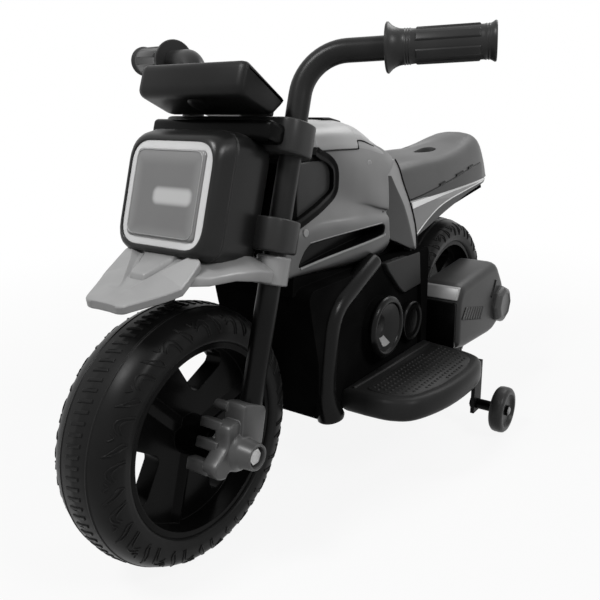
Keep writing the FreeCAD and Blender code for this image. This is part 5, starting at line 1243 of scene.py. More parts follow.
@dataclass
class SidePanel:
    """The silver panels beside the tank, with their window and slot."""

    stations: Stations = (
        (-166.2, ((46.5, 265), (48, 270), (51, 300), (50.4, 306), (49.8, 311), (48.5, 322), (48.2, 345),
                  (48, 366), (47.5, 388))),
        (-119.8, ((47, 262), (51.5, 269), (58.5, 308), (55.5, 318), (52.5, 328), (50.5, 340), (50, 358),
                  (49.6, 376), (48, 390.5))),
        (-70.1, ((50, 258.5), (57, 268), (64.5, 306), (60, 317), (55.5, 327), (52.5, 338), (52.5, 358),
                 (51.6, 378), (49, 391.5))),
        (-30.0, ((52, 256), (62, 267), (67.5, 302), (62.5, 316), (60, 324), (60.4, 330), (58.5, 352),
                 (54, 376), (48.6, 392.5))),
        (-2.0, ((55, 256), (64.5, 269), (69.5, 301), (64.6, 312), (64.2, 316.5), (66.4, 321.5), (62.5, 345),
                (55.5, 372), (47, 392.5))),
        (30.0, ((58, 262), (65.5, 274), (70.5, 299), (66.6, 306), (66.6, 309.5), (69, 313.5), (65.5, 336),
                (56.8, 365), (46.4, 384.6))),
        (58.0, ((59, 262), (65.5, 274), (70.5, 297), (67.5, 303), (67.5, 306), (69.5, 310), (66.5, 330),
                (59, 354), (50, 370))))
    back_x: float = 46.0
    cut_x: Flat = (20.0, 100.0)
    rear: Line = (
        (53.0, 374.0), (50.0, 366.0), (24.1, 353.2), (18.6, 336.0), (14.1, 317.0), (12.0, 301.0),
        (15.0, 289.0),
        (20.2, 278.4), (22.0, 240.0), (90.0, 240.0), (90.0, 400.0), (53.0, 400.0))
    inner: Line = ((-140.0, 302.0), (-60.0, 302.0), (-60.0, 372.0), (-70.0, 380.0), (-140.0, 380.0))
    inner_levels: Line = ((45.0, 0.0), (46.0, 0.0), (46.8, 0.6), (47.2, 1.6))
    window: Line = (
        (-220.0, 311.0), (-152.0, 313.0), (-139.0, 316.5), (-106.0, 327.5), (-80.0, 337.0), (-72.0, 345.0),
        (-70.5, 365.0), (-73.0, 375.0), (-84.0, 385.0), (-102.0, 391.5), (-114.0, 402.0), (-220.0, 402.0))
    rim: float = 9.5
    rim_levels: tuple[float, ...] = (-6.0, 0.8, -0.8, 0.3, -6.0)
    rim_end: Flat = (-160.0, 395.0)
    rim_top: float = 384.0
    rim_x: float = 50.0
    slot: Line = (
        (-146.0, 274.0), (-139.0, 290.0), (-131.0, 297.5), (-75.0, 299.8), (-2.0, 300.5), (4.5, 297.0),
        (4.5, 287.5), (-2.0, 285.0), (-77.0, 278.5), (-140.0, 272.5))
    slot_x: float = 55.0
    slot_wall: float = 1.4
    slot_sunk: Flat = (0.4, 0.6)
    slot_floor: Flat = (0.6, 1.6)
    upper_edge: Line = ((-131.0, 298.2), (-75.0, 300.3), (-4.0, 301.0))
    lower_edge: Line = ((-141.0, 271.6), (-110.0, 274.8), (-77.0, 277.8), (-2.0, 284.3), (3.5, 286.3))
    # The slot's lips are lighter silver that paints a highlight on its edges.
    lip_r: Flat = (0.7, 1.5)
    lip_sunk: float = 0.2

    def window_line(self) -> list[Vector]:
        """Rounded outline of the window."""
        return filleted(self.window, 7.0, 4)

    def slot_line(self) -> list[Vector]:
        """Rounded outline of the slot."""
        return filleted(self.slot, 5.0, 3)

    def cutter(self, outline: Sequence[Any]) -> Form:
        """Prism across the panel."""
        first, wide = self.cut_x
        return Form().slab([(first, p[0], p[1]) for p in outline], (wide, 0.0, 0.0))

    def window_rim(self, face: Surface) -> bpy.types.Object:
        """The black rim inside the window's edge."""
        opening = self.window_line()
        rows = []
        for edge, within in zip(opening, inset(opening, self.rim)):
            if edge.x < self.rim_end[0] or edge.y > self.rim_end[1]:
                continue
            x = face.reach(edge.x, min(edge.y, self.rim_top), self.rim_x)
            spots = (edge, edge, (edge + within) / 2, within, within)
            rows.append([(x + level, spot.x, spot.y) for level, spot in zip(self.rim_levels, spots)])
        return Form().solid(rows).made("window_rim_left", CRISP_ANGLE)

    def slot_tray(self, face: Surface) -> bpy.types.Object:
        """The black walls and floor of the slot."""
        edge = self.slot_line()
        sunk, step = self.slot_sunk
        under, thick = self.slot_floor
        walls = []
        for out, within in zip(edge, inset(edge, self.slot_wall)):
            x = face.reach(out.x, out.y, self.slot_x) - sunk
            walls.append([(self.back_x, out.x, out.y), (x, out.x, out.y), (x - step, within.x, within.y),
                          (self.back_x, within.x, within.y)])
        tray = Form().rows(walls + walls[:1], ring=True)
        tray.slab([(self.back_x - under, p.x, p.y) for p in edge], (thick, 0.0, 0.0))
        return tray.made("slot_tray_left", CRISP_ANGLE)

    def inner_plate(self) -> bpy.types.Object:
        """The grey plate that shows behind the window."""
        plate = Form().stack(filleted(self.inner, 8.0, 4), self.inner_levels, sideways)
        return plate.made("window_plate_left", CRISP_ANGLE)

    def slot_lip(self, face: Surface) -> bpy.types.Object:
        """Rounded lips above and below the slot, whose lighter silver paints a highlight on the slot's
        edges.
        """
        lip = Form()
        for edge, radius in zip((self.upper_edge, self.lower_edge), self.lip_r):
            path = [(face.reach(p.x, p.y, self.slot_x) - self.lip_sunk, p.x, p.y) for p in spline(edge, 10)]
            lip.tube(path, radius, 8)
        return lip.made("slot_lip_left")

    def build(self, shop: Workshop) -> None:
        """Make the panel, the window's rim, the slot's tray and its lips, which paint a highlight, on both
        sides.
        """
        rows = [[(x, y, z) for x, z in points] for y, points in self.stations]
        rings = []
        for row in skin(rows, 6, 8):
            rings.append(row + [Vector((self.back_x, end.y, end.z)) for end in (row[-1], row[0])])
        panel = Form().solid(rings).made("side_panel_skin_left", CRISP_ANGLE)
        face = Surface(panel)
        openings = (self.rear, self.window_line(), self.slot_line())
        carved(panel, [self.cutter(outline) for outline in openings])
        shop.keep_pair(panel, Body.CHASSIS, Slot.SILVER, "panel silver moulding",
                       ("side_panel_left",), ("side_panel_right",))
        for part, slot in ((self.window_rim(face), Slot.GLOSS_BLACK),
                           (self.slot_tray(face), Slot.GLOSS_BLACK),
                           # The slot's lips paint a highlight.
                           (self.slot_lip(face), Slot.SILVER),
                           (self.inner_plate(), Slot.DARK_GREY)):
            shop.keep_pair(part, Body.CHASSIS, slot)


@dataclass
class Tank:
    """The tank's shoulders, its lighter cover and the black strip on top."""

    shoulder: Stations = (
        (-103.0, ((48.5, 389.5), (47.8, 393), (42, 404), (28, 413), (0, 416))),
        (-63.5, ((47.5, 384), (48.8, 391), (44, 404), (30, 413), (0, 417))),
        (-20.0, ((50.0, 376), (50.2, 388), (45, 400), (31, 409), (0, 413))),
        (18.0, ((51.5, 369), (51.0, 380), (44, 389.5), (30, 397), (0, 400))),
        (45.0, ((53.0, 361), (51.0, 370.5), (45, 377.5), (30, 382), (0, 384))),
        (58.0, ((54.0, 351), (51.0, 360), (45, 367), (30, 371), (0, 372.5))),
        (66.0, ((52.0, 342), (49.0, 351), (43, 357), (28, 360), (0, 361))))
    cover: Stations = (
        (-104.0, ((48.6, 390.4), (47.4, 396), (41.5, 408.5), (27, 416.4), (0, 418.6))),
        (-63.5, ((50.4, 389.2), (49.0, 396), (44, 407.5), (30, 416.2), (0, 419.6))),
        (-27.5, ((51.2, 387.4), (49.8, 394), (44.6, 405.5), (31, 415.0), (0, 418.8))))
    rear_cover: Stations = (
        (-29.0, ((48.6, 397.0), (46.6, 402.0), (43.6, 406.0), (31, 415.0), (0, 418.8))),
        (-10.0, ((48.0, 394.5), (46.4, 398.0), (42.4, 402.6), (30, 411.0), (0, 414.6))),
        (12.0, ((47.4, 387.4), (46.0, 389.5), (41.6, 394.6), (28.4, 402.4), (0, 405.6))))
    under_draft: float = 0.9
    seam: Path = (
        (49.2, -104.0, 389.6), (50.7, -63.5, 388.5), (51.3, -30.5, 387.2), (51.2, -27.6, 388.2),
        (49.6, -26.4, 392.0), (48.8, -25.6, 395.4), (48.4, -22.0, 396.0), (48.2, -10.0, 394.0),
        (47.6, 12.0, 387.0))
    seam_r: float = 0.8
    strip: Line = ((-44.0, 418.4), (-28.0, 418.0), (-16.0, 415.6), (-6.0, 413.6))
    strip_half: float = 14.0
    strip_sunk: float = 6.0
    strip_rise: float = 3.2
    strip_edge: Flat = (2.0, 1.0)

    def arch(self, stations: Stations, name: str, drop: float) -> bpy.types.Object:
        """Closed body whose top follows the stations and whose underside lies below it."""
        tops = [whole_row([(x, y, z) for x, z in points]) for y, points in stations]
        rings = []
        for row in skin(tops, 5, 6):
            rings.append(row + [Vector((p.x * self.under_draft, p.y, p.z - drop)) for p in reversed(row)])
        return Form().solid(rings).softened(0.7, 2, 60.0).made(name, CRISP_ANGLE)

    def filler_strip(self) -> Form:
        """The black strip along the top of the cover."""
        run, drop = self.strip_edge
        rows = []
        for y, z in self.strip:
            top = z + self.strip_rise
            half = [(self.strip_half, y, z - self.strip_sunk), (self.strip_half, y, top - drop),
                    (self.strip_half - run, y, top)]
            rows.append(half + [(-x, py, pz) for x, py, pz in half[::-1]])
        return Form().solid(rows).softened(0.8, 2)

    def build(self, shop: Workshop) -> None:
        """Make the shoulders, the two parts of the cover and the strip."""
        body = self.arch(self.shoulder, "tank_shoulders", 5.0)
        shop.keep(body, Body.CHASSIS, Slot.SILVER, nodes=("tank_deck", "tank_cover"))
        for stations, name in ((self.cover, "tank_cover_front"), (self.rear_cover, "tank_cover_rear")):
            shop.keep(self.arch(stations, name, 4.0), Body.CHASSIS, Slot.SILVER, "tank silver moulding")
        seam = Form().tube(spline(self.seam, 4), self.seam_r, 8)
        shop.keep_pair(seam.made("tank_seam_left"), Body.CHASSIS, Slot.GLOSS_BLACK)
        shop.keep(self.filler_strip().made("tank_strip", CRISP_ANGLE), Body.CHASSIS, Slot.GLOSS_BLACK)


@dataclass
class Seat:
    """The moulded seat with its drain holes, side groove and skirt."""

    stations: tuple[tuple[float, float, Line], ...] = (
        (29.8, 55, ((52, 340), (46, 352), (34, 359.5), (16, 363.5), (0, 364.8))),
        (119.8, 58, ((53.5, 347), (47, 358), (34, 364.8), (16, 369.4), (0, 372))),
        (199.8, 58, ((53.5, 348), (47, 359), (34, 364.6), (16, 369), (0, 372))),
        (269.9, 56, ((52, 350), (45.5, 364), (33, 370.4), (15, 374.4), (0, 376.6))),
        (325.1, 52, ((49, 352), (43, 370), (31, 379.5), (14, 383.4), (0, 384))),
        (352.2, 49, ((46, 349), (40, 369.5), (29, 380), (13, 384), (0, 384.6))),
        (374.3, 45, ((42, 337), (36, 351), (26, 359), (12, 362), (0, 362.6))),
        (385.8, 42, ((39, 324), (34, 329), (24, 332.5), (11, 334), (0, 334.3))))
    foot: Line = ((92.2, 312.1), (366.0, 315.0))
    front: Line = (
        (-10.0, 290.0), (92.0, 290.0), (78.0, 312.1), (60.0, 340.0), (47.0, 362.1), (38.0, 377.9),
        (27.0, 395.0), (-10.0, 395.0))
    front_half: float = 90.0
    hole: Line = (
        (21.0, 168.0), (27.0, 194.0), (28.5, 216.0), (24.5, 231.0), (16.0, 231.0), (12.0, 216.0),
        (14.0, 194.0))
    hole_z: Flat = (357.0, 40.0)
    groove: Line = (
        (90.0, 315.4), (129.0, 318.2), (185.0, 324.1), (257.0, 332.7), (304.0, 338.6), (340.0, 341.5))
    groove_y: Flat = (93.0, 340.0)
    groove_wide: float = 1.6
    skirt_y: Flat = (94.0, 350.0)
    ribbon_steps: int = 48
    ribbon_shares: tuple[float, ...] = (0.02, 0.35, 0.7, 1.0)
    ribbon_x: Flat = (0.6, 2.0)
    spare_x: float = 50.0
    slots: Line = ((178.0, 196.0), (236.0, 262.0), (284.0, 304.0))
    slot_rise: float = 1.2
    slot_r: float = 1.9

    def foot_z(self, y: float) -> float:
        """Height of the seat's lower edge."""
        return straight(self.foot, y)

    def groove_z(self, y: float) -> float:
        """Height of the groove's upper line along the side."""
        return line_at(self.groove, y)

    def groove_low(self, y: float) -> float:
        """Height of the groove's lower line along the side."""
        return self.groove_z(y) - self.groove_wide

    def ribbon(self, face: Surface, span: Flat, low: Callable[[float], float],
               high: Callable[[float], float]) -> Form:
        """Thin strip on the seat's side between two lines.

        Args:
            face: The seat's side.
            span: Where the strip starts and ends along the bike.
            low: Height of its lower line at a place along the bike.
            high: Height of its upper line there.

        Returns:
            A closed form.
        """
        proud, deep = self.ribbon_x
        rows = []
        for k in range(self.ribbon_steps + 1):
            y = span[0] + (span[1] - span[0]) * k / self.ribbon_steps
            heights = [low(y) + (high(y) - low(y)) * share for share in self.ribbon_shares]
            places = [(face.reach(y, z, self.spare_x), z) for z in heights]
            rows.append([(x + proud, y, z) for x, z in places]
                        + [(x - deep, y, z) for x, z in places[::-1]])
        return Form().solid(rows)

    def build(self, shop: Workshop) -> None:
        """Make the seat, cut its front and holes, and lay the skirt and the groove on its sides."""
        rows = []
        for y, foot, points in self.stations:
            rows.append(whole_row([(foot, y, self.foot_z(y))] + [(x, y, z) for x, z in points]))
        seat = Form().solid(skin(rows, 5, 6)).made("seat_shell", CRISP_ANGLE)
        face = Surface(seat)
        half = self.front_half
        cuts = [Form().slab([(-half, y, z) for y, z in self.front], (2 * half, 0.0, 0.0))]
        floor, tall = self.hole_z
        for sign in (-1.0, 1.0):
            outline = [(sign * p.x, p.y, floor) for p in spline(self.hole, 4, True)]
            cuts.append(Form().slab(outline, (0.0, 0.0, tall)))
        carved(seat, cuts)
        shop.keep(seat, Body.CHASSIS, Slot.DARK_GREY, "seat grey moulding", ("seat",))
        skirt = self.ribbon(face, self.skirt_y, self.foot_z, self.groove_low)
        groove = self.ribbon(face, self.groove_y, self.groove_low, self.groove_z)
        for first, last in self.slots:
            path = [(y, self.groove_z(y) + self.slot_rise) for y in (first, (first + last) / 2, last)]
            groove.tube([(face.reach(y, z, self.spare_x), y, z) for y, z in path], self.slot_r, 8)
        shop.keep_pair(skirt.made("seat_skirt_left", CRISP_ANGLE), Body.CHASSIS, Slot.DARK_GREY)
        shop.keep_pair(groove.made("seat_groove_left", CRISP_ANGLE), Body.CHASSIS, Slot.GLOSS_BLACK)


@dataclass
class TailTrim:
    """The tail panels and their bands, the silver strips beside the seat and the dark knee plates."""

    knee_left: Path = (
        (58.2, 15.0, 353.5), (61.5, 10.0, 336.0), (64.3, 6.0, 317.0), (65.6, 4.0, 300.0),
        (66.0, 19.2, 279.4),
        (65.8, 45.0, 268.6), (65.0, 78.0, 255.5))
    knee_right: Path = (
        (60.2, 33.8, 351.4), (62.5, 44.8, 334.4), (65.0, 57.3, 315.8), (66.4, 68.6, 295.0),
        (66.0, 81.7, 271.2),
        (65.2, 88.5, 260.0), (64.4, 94.9, 249.3))
    strip_left: Path = (
        (50.0, 40.0, 369.5), (54.5, 28.0, 357.0), (58.5, 30.0, 341.0), (61.5, 42.0, 318.0),
        (62.3, 54.0, 300.0),
        (62.3, 66.0, 281.0), (62.2, 80.0, 261.0), (62.0, 88.0, 247.0))
    strip_right: Path = (
        (52.5, 55.0, 369.0), (56.0, 60.0, 358.0), (58.0, 67.6, 340.2), (60.5, 80.0, 317.0),
        (61.4, 88.5, 300.7),
        (61.3, 98.0, 280.8), (61.1, 103.0, 262.9), (61.5, 103.5, 246.0))
    back: float = 10.0
    gap_shift: Point = (0.3, 0.9, 0.0)
    gap_r: float = 1.0
    tail: Line = (
        (84.0, 313.2), (366.0, 315.0), (360.0, 307.9), (270.0, 296.9), (181.0, 280.1), (103.5, 264.3),
        (99.5, 280.0), (91.0, 299.0))
    tail_levels: Line = ((-18.0, 0.0), (-0.8, 0.0), (-0.2, 0.3), (0.0, 0.9))
    half: Line = ((45.8, 63.0), (366.0, 49.0))
    stripe_top: Line = ((87.0, 312.0), (191.0, 312.8), (290.7, 314.6), (364.0, 314.8))
    stripe_low: Line = ((91.0, 303.6), (191.0, 308.2), (290.7, 310.6), (357.0, 311.4))
    curve: Line = (
        (103.5, 267.0), (109.5, 269.0), (140.6, 281.6), (174.7, 291.9), (216.1, 298.8), (292.3, 305.3),
        (352.0, 310.0))
    low: Line = (
        (103.5, 264.7), (109.5, 266.1), (140.0, 272.4), (181.0, 280.8), (216.1, 287.4), (292.3, 300.4),
        (352.0, 307.6))
    line_wide: float = 1.8
    stripe_proud: float = 0.5
    band_proud: float = 0.4
    band_deep: float = 1.5

    def face(self, y: float) -> float:
        """How far out the tail panel's face is."""
        return straight(self.half, y)

    def band(self, first: Sequence[Flat], last: Sequence[Flat], proud: float) -> Form:
        """Thin strip on the tail panel between two lines."""
        rows = []
        for low, high in zip(spline(first, 6), spline(last, 6)):
            places = ((low.x, low.y), (high.x, high.y))
            rows.append([(self.face(y) + proud, y, z) for y, z in places]
                        + [(self.face(y) - self.band_deep, y, z) for y, z in places[::-1]])
        return Form().solid(rows)

    def plate(self, left: Sequence[Point], right: Sequence[Point]) -> Form:
        """Curved plate between two edges, as thick as its back is deep."""
        middle = [tuple((Vector(a) + Vector(b)) / 2) for a, b in zip(left, right)]
        grid = skin([list(row) for row in zip(left, middle, right)], 4, 5)
        away = Vector((self.back, 0.0, 0.0))
        return Form().solid([row + [row[-1] - away, row[0] - away] for row in grid]).softened(0.8, 2, 50.0)

    def build(self, shop: Workshop) -> None:
        """Make the panels, strips, plates and bands of both sides."""
        tail = Form().stack(filleted(self.tail, 1.5, 2), self.tail_levels,
                            lambda p, out: (self.face(p.x) + out, p.x, p.y))
        strip = self.plate(self.strip_left, self.strip_right)
        knee = self.plate(self.knee_left, self.knee_right)
        stripe = self.band(self.stripe_low, self.stripe_top, self.stripe_proud)
        line = self.band(self.curve, [(y, z + self.line_wide) for y, z in self.curve], self.stripe_proud)
        band = self.band(self.low, self.curve, self.band_proud)
        edge = [Vector(point) + Vector(self.gap_shift) for point in self.strip_right]
        gap = Form().tube(spline(edge, 5), self.gap_r, 8)
        for form, name, slot, finish, nodes, twin_nodes in (
                (tail, "tail_skin", Slot.SILVER, "", ("tail_panel_left",), ("tail_panel_right",)),
                (strip, "seat_strip", Slot.SILVER, "", (), ()),
                (knee, "knee_plate", Slot.DARK_GREY, "", ("knee_plates",), ()),
                (stripe, "tail_stripe", Slot.SILVER, "white trim", (), ()),
                (line, "tail_line", Slot.SILVER, "white trim", (), ()),
                (band, "tail_band", Slot.DARK_GREY, "", (), ()),
                (gap, "tail_gap", Slot.GLOSS_BLACK, "", (), ())):
            left = form.made(f"{name}_left", CRISP_ANGLE)
            shop.keep_pair(left, Body.CHASSIS, slot, finish, nodes, twin_nodes)


@dataclass
class Step:
    """The foot steps with their rounded rims, and the left one's studded pad."""

    finish: str = "step black moulding"
    outline: Line = (
        (66.0, -86.9), (100.0, -91.0), (130.0, -86.9), (153.5, -68.6), (169.5, -19.0), (173.6, 44.0),
        (165.0, 87.0),
        (142.0, 104.8), (92.0, 113.0), (66.0, 113.0))
    levels: Line = (
        (95.0, 7.0), (96.2, 3.2), (99.0, 0.8), (103.0, 0.0), (112.0, 0.0), (117.0, 0.9), (120.0, 2.8),
        (121.6, 5.6),
        (122.0, 9.0))
    pad: Line = (
        (89.2, -75.4), (128.0, -75.0), (146.0, -60.0), (158.5, -17.0), (161.5, 43.0), (154.0, 80.0),
        (136.0, 94.0),
        (93.8, 103.0))
    pad_levels: Line = ((120.5, 0.0), (122.3, 0.0), (122.8, 0.6))
    pad_border: float = 4.5
    pitch: float = 7.2
    field: Flat = (80.0, 200.0)
    first_stud: Point = (90.0, -84.0, 122.6)
    stud: Flat = (2.2, 0.55)
    ridge: Line = ((78.0, -80.0), (81.0, 0.0), (83.0, 104.0))
    ridge_z: float = 121.4
    ridge_r: float = 2.4
    pivot: Point = (62.0, 127.3, 5.0)
    pin_r: float = 2.5
    ear_foot: float = 120.0
    ear_x: tuple[Flat, Flat] = ((-154.2, -148.3), (-95.6, -89.7))

    def curve(self) -> list[Vector]:
        """Smooth outline with a straight inner edge."""
        outer = spline(self.outline[1:-1], 6)
        return [Vector(self.outline[0])] + outer + [Vector(self.outline[-1])]

    def stud_field(self, shop: Workshop, border: Sequence[Vector]) -> bpy.types.Object:
        """Studs in staggered rows within a pad's border."""
        within = inset(border, self.pad_border)
        x, y, z = self.first_stud
        spots = []
        for i in range(int(self.field[0] / self.pitch)):
            for j in range(int(self.field[1] / self.pitch)):
                spot = Vector((x + self.pitch * i, y + self.pitch * (j + 0.5 * (i % 2))))
                if inside(within, spot):
                    spots.append((spot.x * MM, spot.y * MM, z * MM))
        cloud = bpy.data.meshes.new("step_studs_left")
        cloud.from_pydata(spots, [], [])
        radius, rise = self.stud
        values = {"Radius": radius * MM, "Rise": (1.0, 1.0, rise), "Material": shop.palette[self.finish]}
        return shop.studs.grow(new_object("step_studs_left", cloud), values)

    def pedal_ears(self) -> bpy.types.Object:
        """The two ears and the pin that carry the accelerator pedal on the right step."""
        y, z, radius = self.pivot
        arch = circle((y, z), radius, 12, math.pi)
        outline = [(y + radius, self.ear_foot)] + arch + [(y - radius, self.ear_foot)]
        ears = Form()
        for first, last in self.ear_x:
            ears.slab([(first, py, pz) for py, pz in outline], (last - first, 0.0, 0.0))
        pin = [(self.ear_x[0][0], y, z), (self.ear_x[1][1], y, z)]
        return ears.softened(0.8, 2).tube(pin, self.pin_r, 20).made("pedal_ears", CRISP_ANGLE)

    def build(self, shop: Workshop) -> None:
        """Make the steps, the left one's pad and studs, the ridges and the pedal's ears."""
        body = Form().stack(self.curve(), self.levels, upright).made("step_body_left", 40.0)
        shop.keep_pair(body, Body.CHASSIS, Slot.SATIN_BLACK, self.finish, ("step_left",), ("step_right",))
        border = filleted(self.pad, 12.0, 5)
        plate = Form().stack(border, self.pad_levels, upright).made("step_pad_left", 40.0)
        for part in (plate, self.stud_field(shop, border), self.pedal_ears()):
            shop.keep(part, Body.CHASSIS, Slot.SATIN_BLACK, self.finish)
        ridge = Form().tube([(x, y, self.ridge_z) for x, y in spline(self.ridge, 8)], self.ridge_r, 10)
        shop.keep_pair(ridge.made("step_ridge_left"), Body.CHASSIS, Slot.SATIN_BLACK, self.finish)


@dataclass
class ExhaustBox:
    """The rounded boxes beside the rear wheel, with their bright edge, black front and ribbed vent."""

    outline: Line = (
        (122.0, 112.1), (122.0, 178.0), (134.1, 198.0), (262.2, 208.0), (293.1, 169.9), (305.8, 138.0),
        (292.0, 112.1),
        (256.1, 98.2), (150.1, 104.0))
    levels: Line = (
        (58.0, 3.0), (59.5, 0.8), (62.0, 0.0), (101.0, 0.0), (107.0, 1.0), (111.5, 3.2), (114.6, 6.6),
        (115.7, 9.6),
        (116.0, 13.0))
    edge: Line = ((122.6, 180.5), (131.0, 195.6), (137.0, 196.0), (128.0, 179.5))
    edge_x: Flat = (61.0, 112.5)
    front: Line = ((61.0, 113.0), (112.0, 113.0), (112.0, 177.0), (61.0, 177.0))
    front_levels: Line = ((121.0, 1.2), (121.6, 0.0), (127.0, 0.0))
    vent: Line = ((134.0, 152.0), (146.0, 166.0), (214.0, 150.0), (205.0, 134.0))
    vent_x: Flat = (114.6, 1.7)
    rib_count: int = 8
    rib_x: float = 116.2
    rib_r: float = 2.0
    groove: Line = ((240.0, 158.0), (249.0, 168.0), (256.0, 180.0))
    groove_x: float = 115.2
    groove_r: float = 2.4

    def vent_ribs(self) -> Form:
        """The slanting ribs of the vent."""
        ribs = Form()
        low_a, high_a, high_b, low_b = (Vector(corner) for corner in self.vent)
        for k in range(self.rib_count):
            share = (k + 0.5) / self.rib_count
            ends = (low_a.lerp(low_b, share), high_a.lerp(high_b, share))
            ribs.tube([(self.rib_x, end.x, end.y) for end in ends], self.rib_r, 8)
        return ribs

    def build(self, shop: Workshop) -> None:
        """Make both boxes with their trim."""
        shell = Form().stack(filleted(self.outline, 13.0, 5), self.levels, sideways)
        shop.keep_pair(shell.made("exhaust_shell_left"), Body.CHASSIS, Slot.DARK_GREY,
                       nodes=("exhaust_box_left",), twin_nodes=("exhaust_box_right",))
        edge = Form().solid([[(x, y, z) for y, z in self.edge] for x in self.edge_x]).softened(1.2)
        front = Form().stack(filleted(self.front, 4.0, 3), self.front_levels, lambda p, y: (p.x, y, p.y))
        x, thick = self.vent_x
        front.slab([(x, y, z) for y, z in self.vent], (thick, 0.0, 0.0))
        front.tube([(self.groove_x, y, z) for y, z in self.groove], self.groove_r, 8)
        for form, name, slot, finish in (
                (edge, "exhaust_edge", Slot.SILVER, ""),
                (front, "exhaust_front", Slot.GLOSS_BLACK, ""),
                (self.vent_ribs(), "exhaust_ribs", Slot.DARK_GREY, "bracket grey moulding")):
            shop.keep_pair(form.made(f"{name}_left"), Body.CHASSIS, slot, finish)


@dataclass
class AxleCap:
    """The eight-sided caps on the rear axle."""

    centre: Flat = (276.0, 139.0)
    profile: Line = (
        (104.0, 0.0), (104.0, 26.0), (106.0, 28.0), (120.0, 28.0), (123.5, 26.0), (126.0, 22.5),
        (126.8, 20.0),
        (126.4, 18.6), (125.2, 18.0), (125.2, 0.0))

    def build(self, shop: Workshop) -> None:
        """Make both caps."""
        form = Form().turned(self.profile, Matrix.Translation((0.0, *self.centre)), 8)
        cap = form.softened(0.8, 2, 25.0).made("axle_cap_left", 20.0)
        shop.keep_pair(cap, Body.CHASSIS, Slot.DARK_GREY, "bracket grey moulding", ("rear_axle_caps",))


@dataclass
class Horn:
    """The thick lip and the funnel of the horn on each side of the engine, with a silver patch on the
    funnel that paints a highlight.
    """

    centre: Flat = (-7.7, 176.0)
    lip: Flat = (79.5, 33.0)
    lip_r: float = 5.2
    funnel: Line = ((69.8, 0.0), (69.8, 12.2), (84.0, 31.0), (84.0, 32.2), (69.2, 13.2), (69.2, 0.0))
    # The silver patch on the funnel's lower wall is a painted highlight.
    tongue_turn: Flat = (252.0, 292.0)
    tongue_radius: Flat = (15.0, 24.5)
    tongue_x: Flat = (0.8, 0.4)

    def patch(self) -> Form:
        """Painted highlight: a silver patch on part of the funnel's lower wall, a little above it."""
        (throat_x, throat), (mouth_x, mouth) = self.funnel[1], self.funnel[2]
        slope = (mouth_x - throat_x) / (mouth - throat)
        first, last = self.tongue_turn
        inner, outer = self.tongue_radius
        proud, deep = self.tongue_x
        radii = [inner + (outer - inner) * k / 4 for k in range(5)]
        rows = []
        for k in range(13):
            turn = math.radians(first + (last - first) * k / 12)
            wall = []
            for radius in radii:
                wall.append((throat_x + (radius - throat) * slope, self.centre[0] + radius * math.cos(turn),
                             self.centre[1] + radius * math.sin(turn)))
            rows.append([(x + proud, y, z) for x, y, z in wall]
                        + [(x - deep, y, z) for x, y, z in wall[::-1]])
        return Form().solid(rows)

    def build(self, shop: Workshop) -> None:
        """Make the lips, funnels and painted highlight patches."""
        place = Matrix.Translation((0.0, *self.centre))
        lip = Form().turned(circle(self.lip, self.lip_r, 14), place, 48)
        funnel = Form().turned(self.funnel, place, 40)
        for form, name, slot, finish in ((lip, "horn_lip", Slot.GLOSS_BLACK, "frame black moulding"),
                                         (funnel, "horn_funnel", Slot.SATIN_BLACK, "step black moulding"),
                                         (self.patch(), "horn_tongue", Slot.SILVER, "")):
            shop.keep_pair(form.made(f"{name}_left"), Body.CHASSIS, slot, finish)


@dataclass
class EngineTrim:
    """The frame tube with its wide foot, the upper plate and the round cover on each side of the engine."""

    tube: tuple[tuple[float, float, float, float], ...] = (
        (64.0, -12.5, 258.3, 8.6), (64.0, -14.5, 257.4, 11.0), (64.0, -17.0, 256.3, 11.8),
        (64.0, -66.0, 234.5, 11.8),
        (64.0, -85.3, 225.9, 11.8), (64.0, -94.0, 220.6, 11.8), (64.0, -100.6, 213.8, 11.8),
        (64.0, -105.4, 205.6, 11.8),
        (64.0, -108.4, 195.9, 11.8), (64.0, -112.5, 171.0, 11.8), (64.0, -116.2, 148.0, 11.9),
        (65.2, -119.0, 130.0, 12.3), (67.5, -119.5, 115.0, 13.4), (70.0, -117.5, 104.0, 15.2),
        (71.0, -116.5, 99.5, 15.8), (71.4, -116.2, 97.0, 14.4))
    plate: Line = ((2.0, 251.0), (92.0, 249.0), (97.0, 205.0), (52.0, 203.0), (38.0, 213.0), (8.0, 242.0))
    plate_levels: Line = ((64.0, 0.0), (71.6, 0.0), (72.6, 0.9))
    cover_at: Flat = (73.4, 160.0)
    cover: Line = (
        (65.0, 0.0), (65.0, 26.4), (73.4, 26.4), (74.7, 25.7), (75.2, 24.6), (74.9, 23.4), (74.2, 22.4),
        (72.6, 16.5),
        (71.6, 14.0), (71.4, 0.0))

    def build(self, shop: Workshop) -> None:
        """Make the trim of both sides."""
        tube = Form().tube([row[:3] for row in self.tube], [row[3] for row in self.tube], 28)
        plate = Form().stack(filleted(self.plate, 2.5, 3), self.plate_levels, sideways)
        cover = Form().turned(self.cover, Matrix.Translation((0.0, *self.cover_at)), 40)
        for form, name, finish, angle in ((tube, "frame_tube", "frame black moulding", SHARP_ANGLE),
                                          (plate, "engine_plate", "step black moulding", 5.0),
                                          (cover, "engine_cover", "frame black moulding", SHARP_ANGLE)):
            shop.keep_pair(form.made(f"{name}_left", angle), Body.CHASSIS, Slot.GLOSS_BLACK, finish)


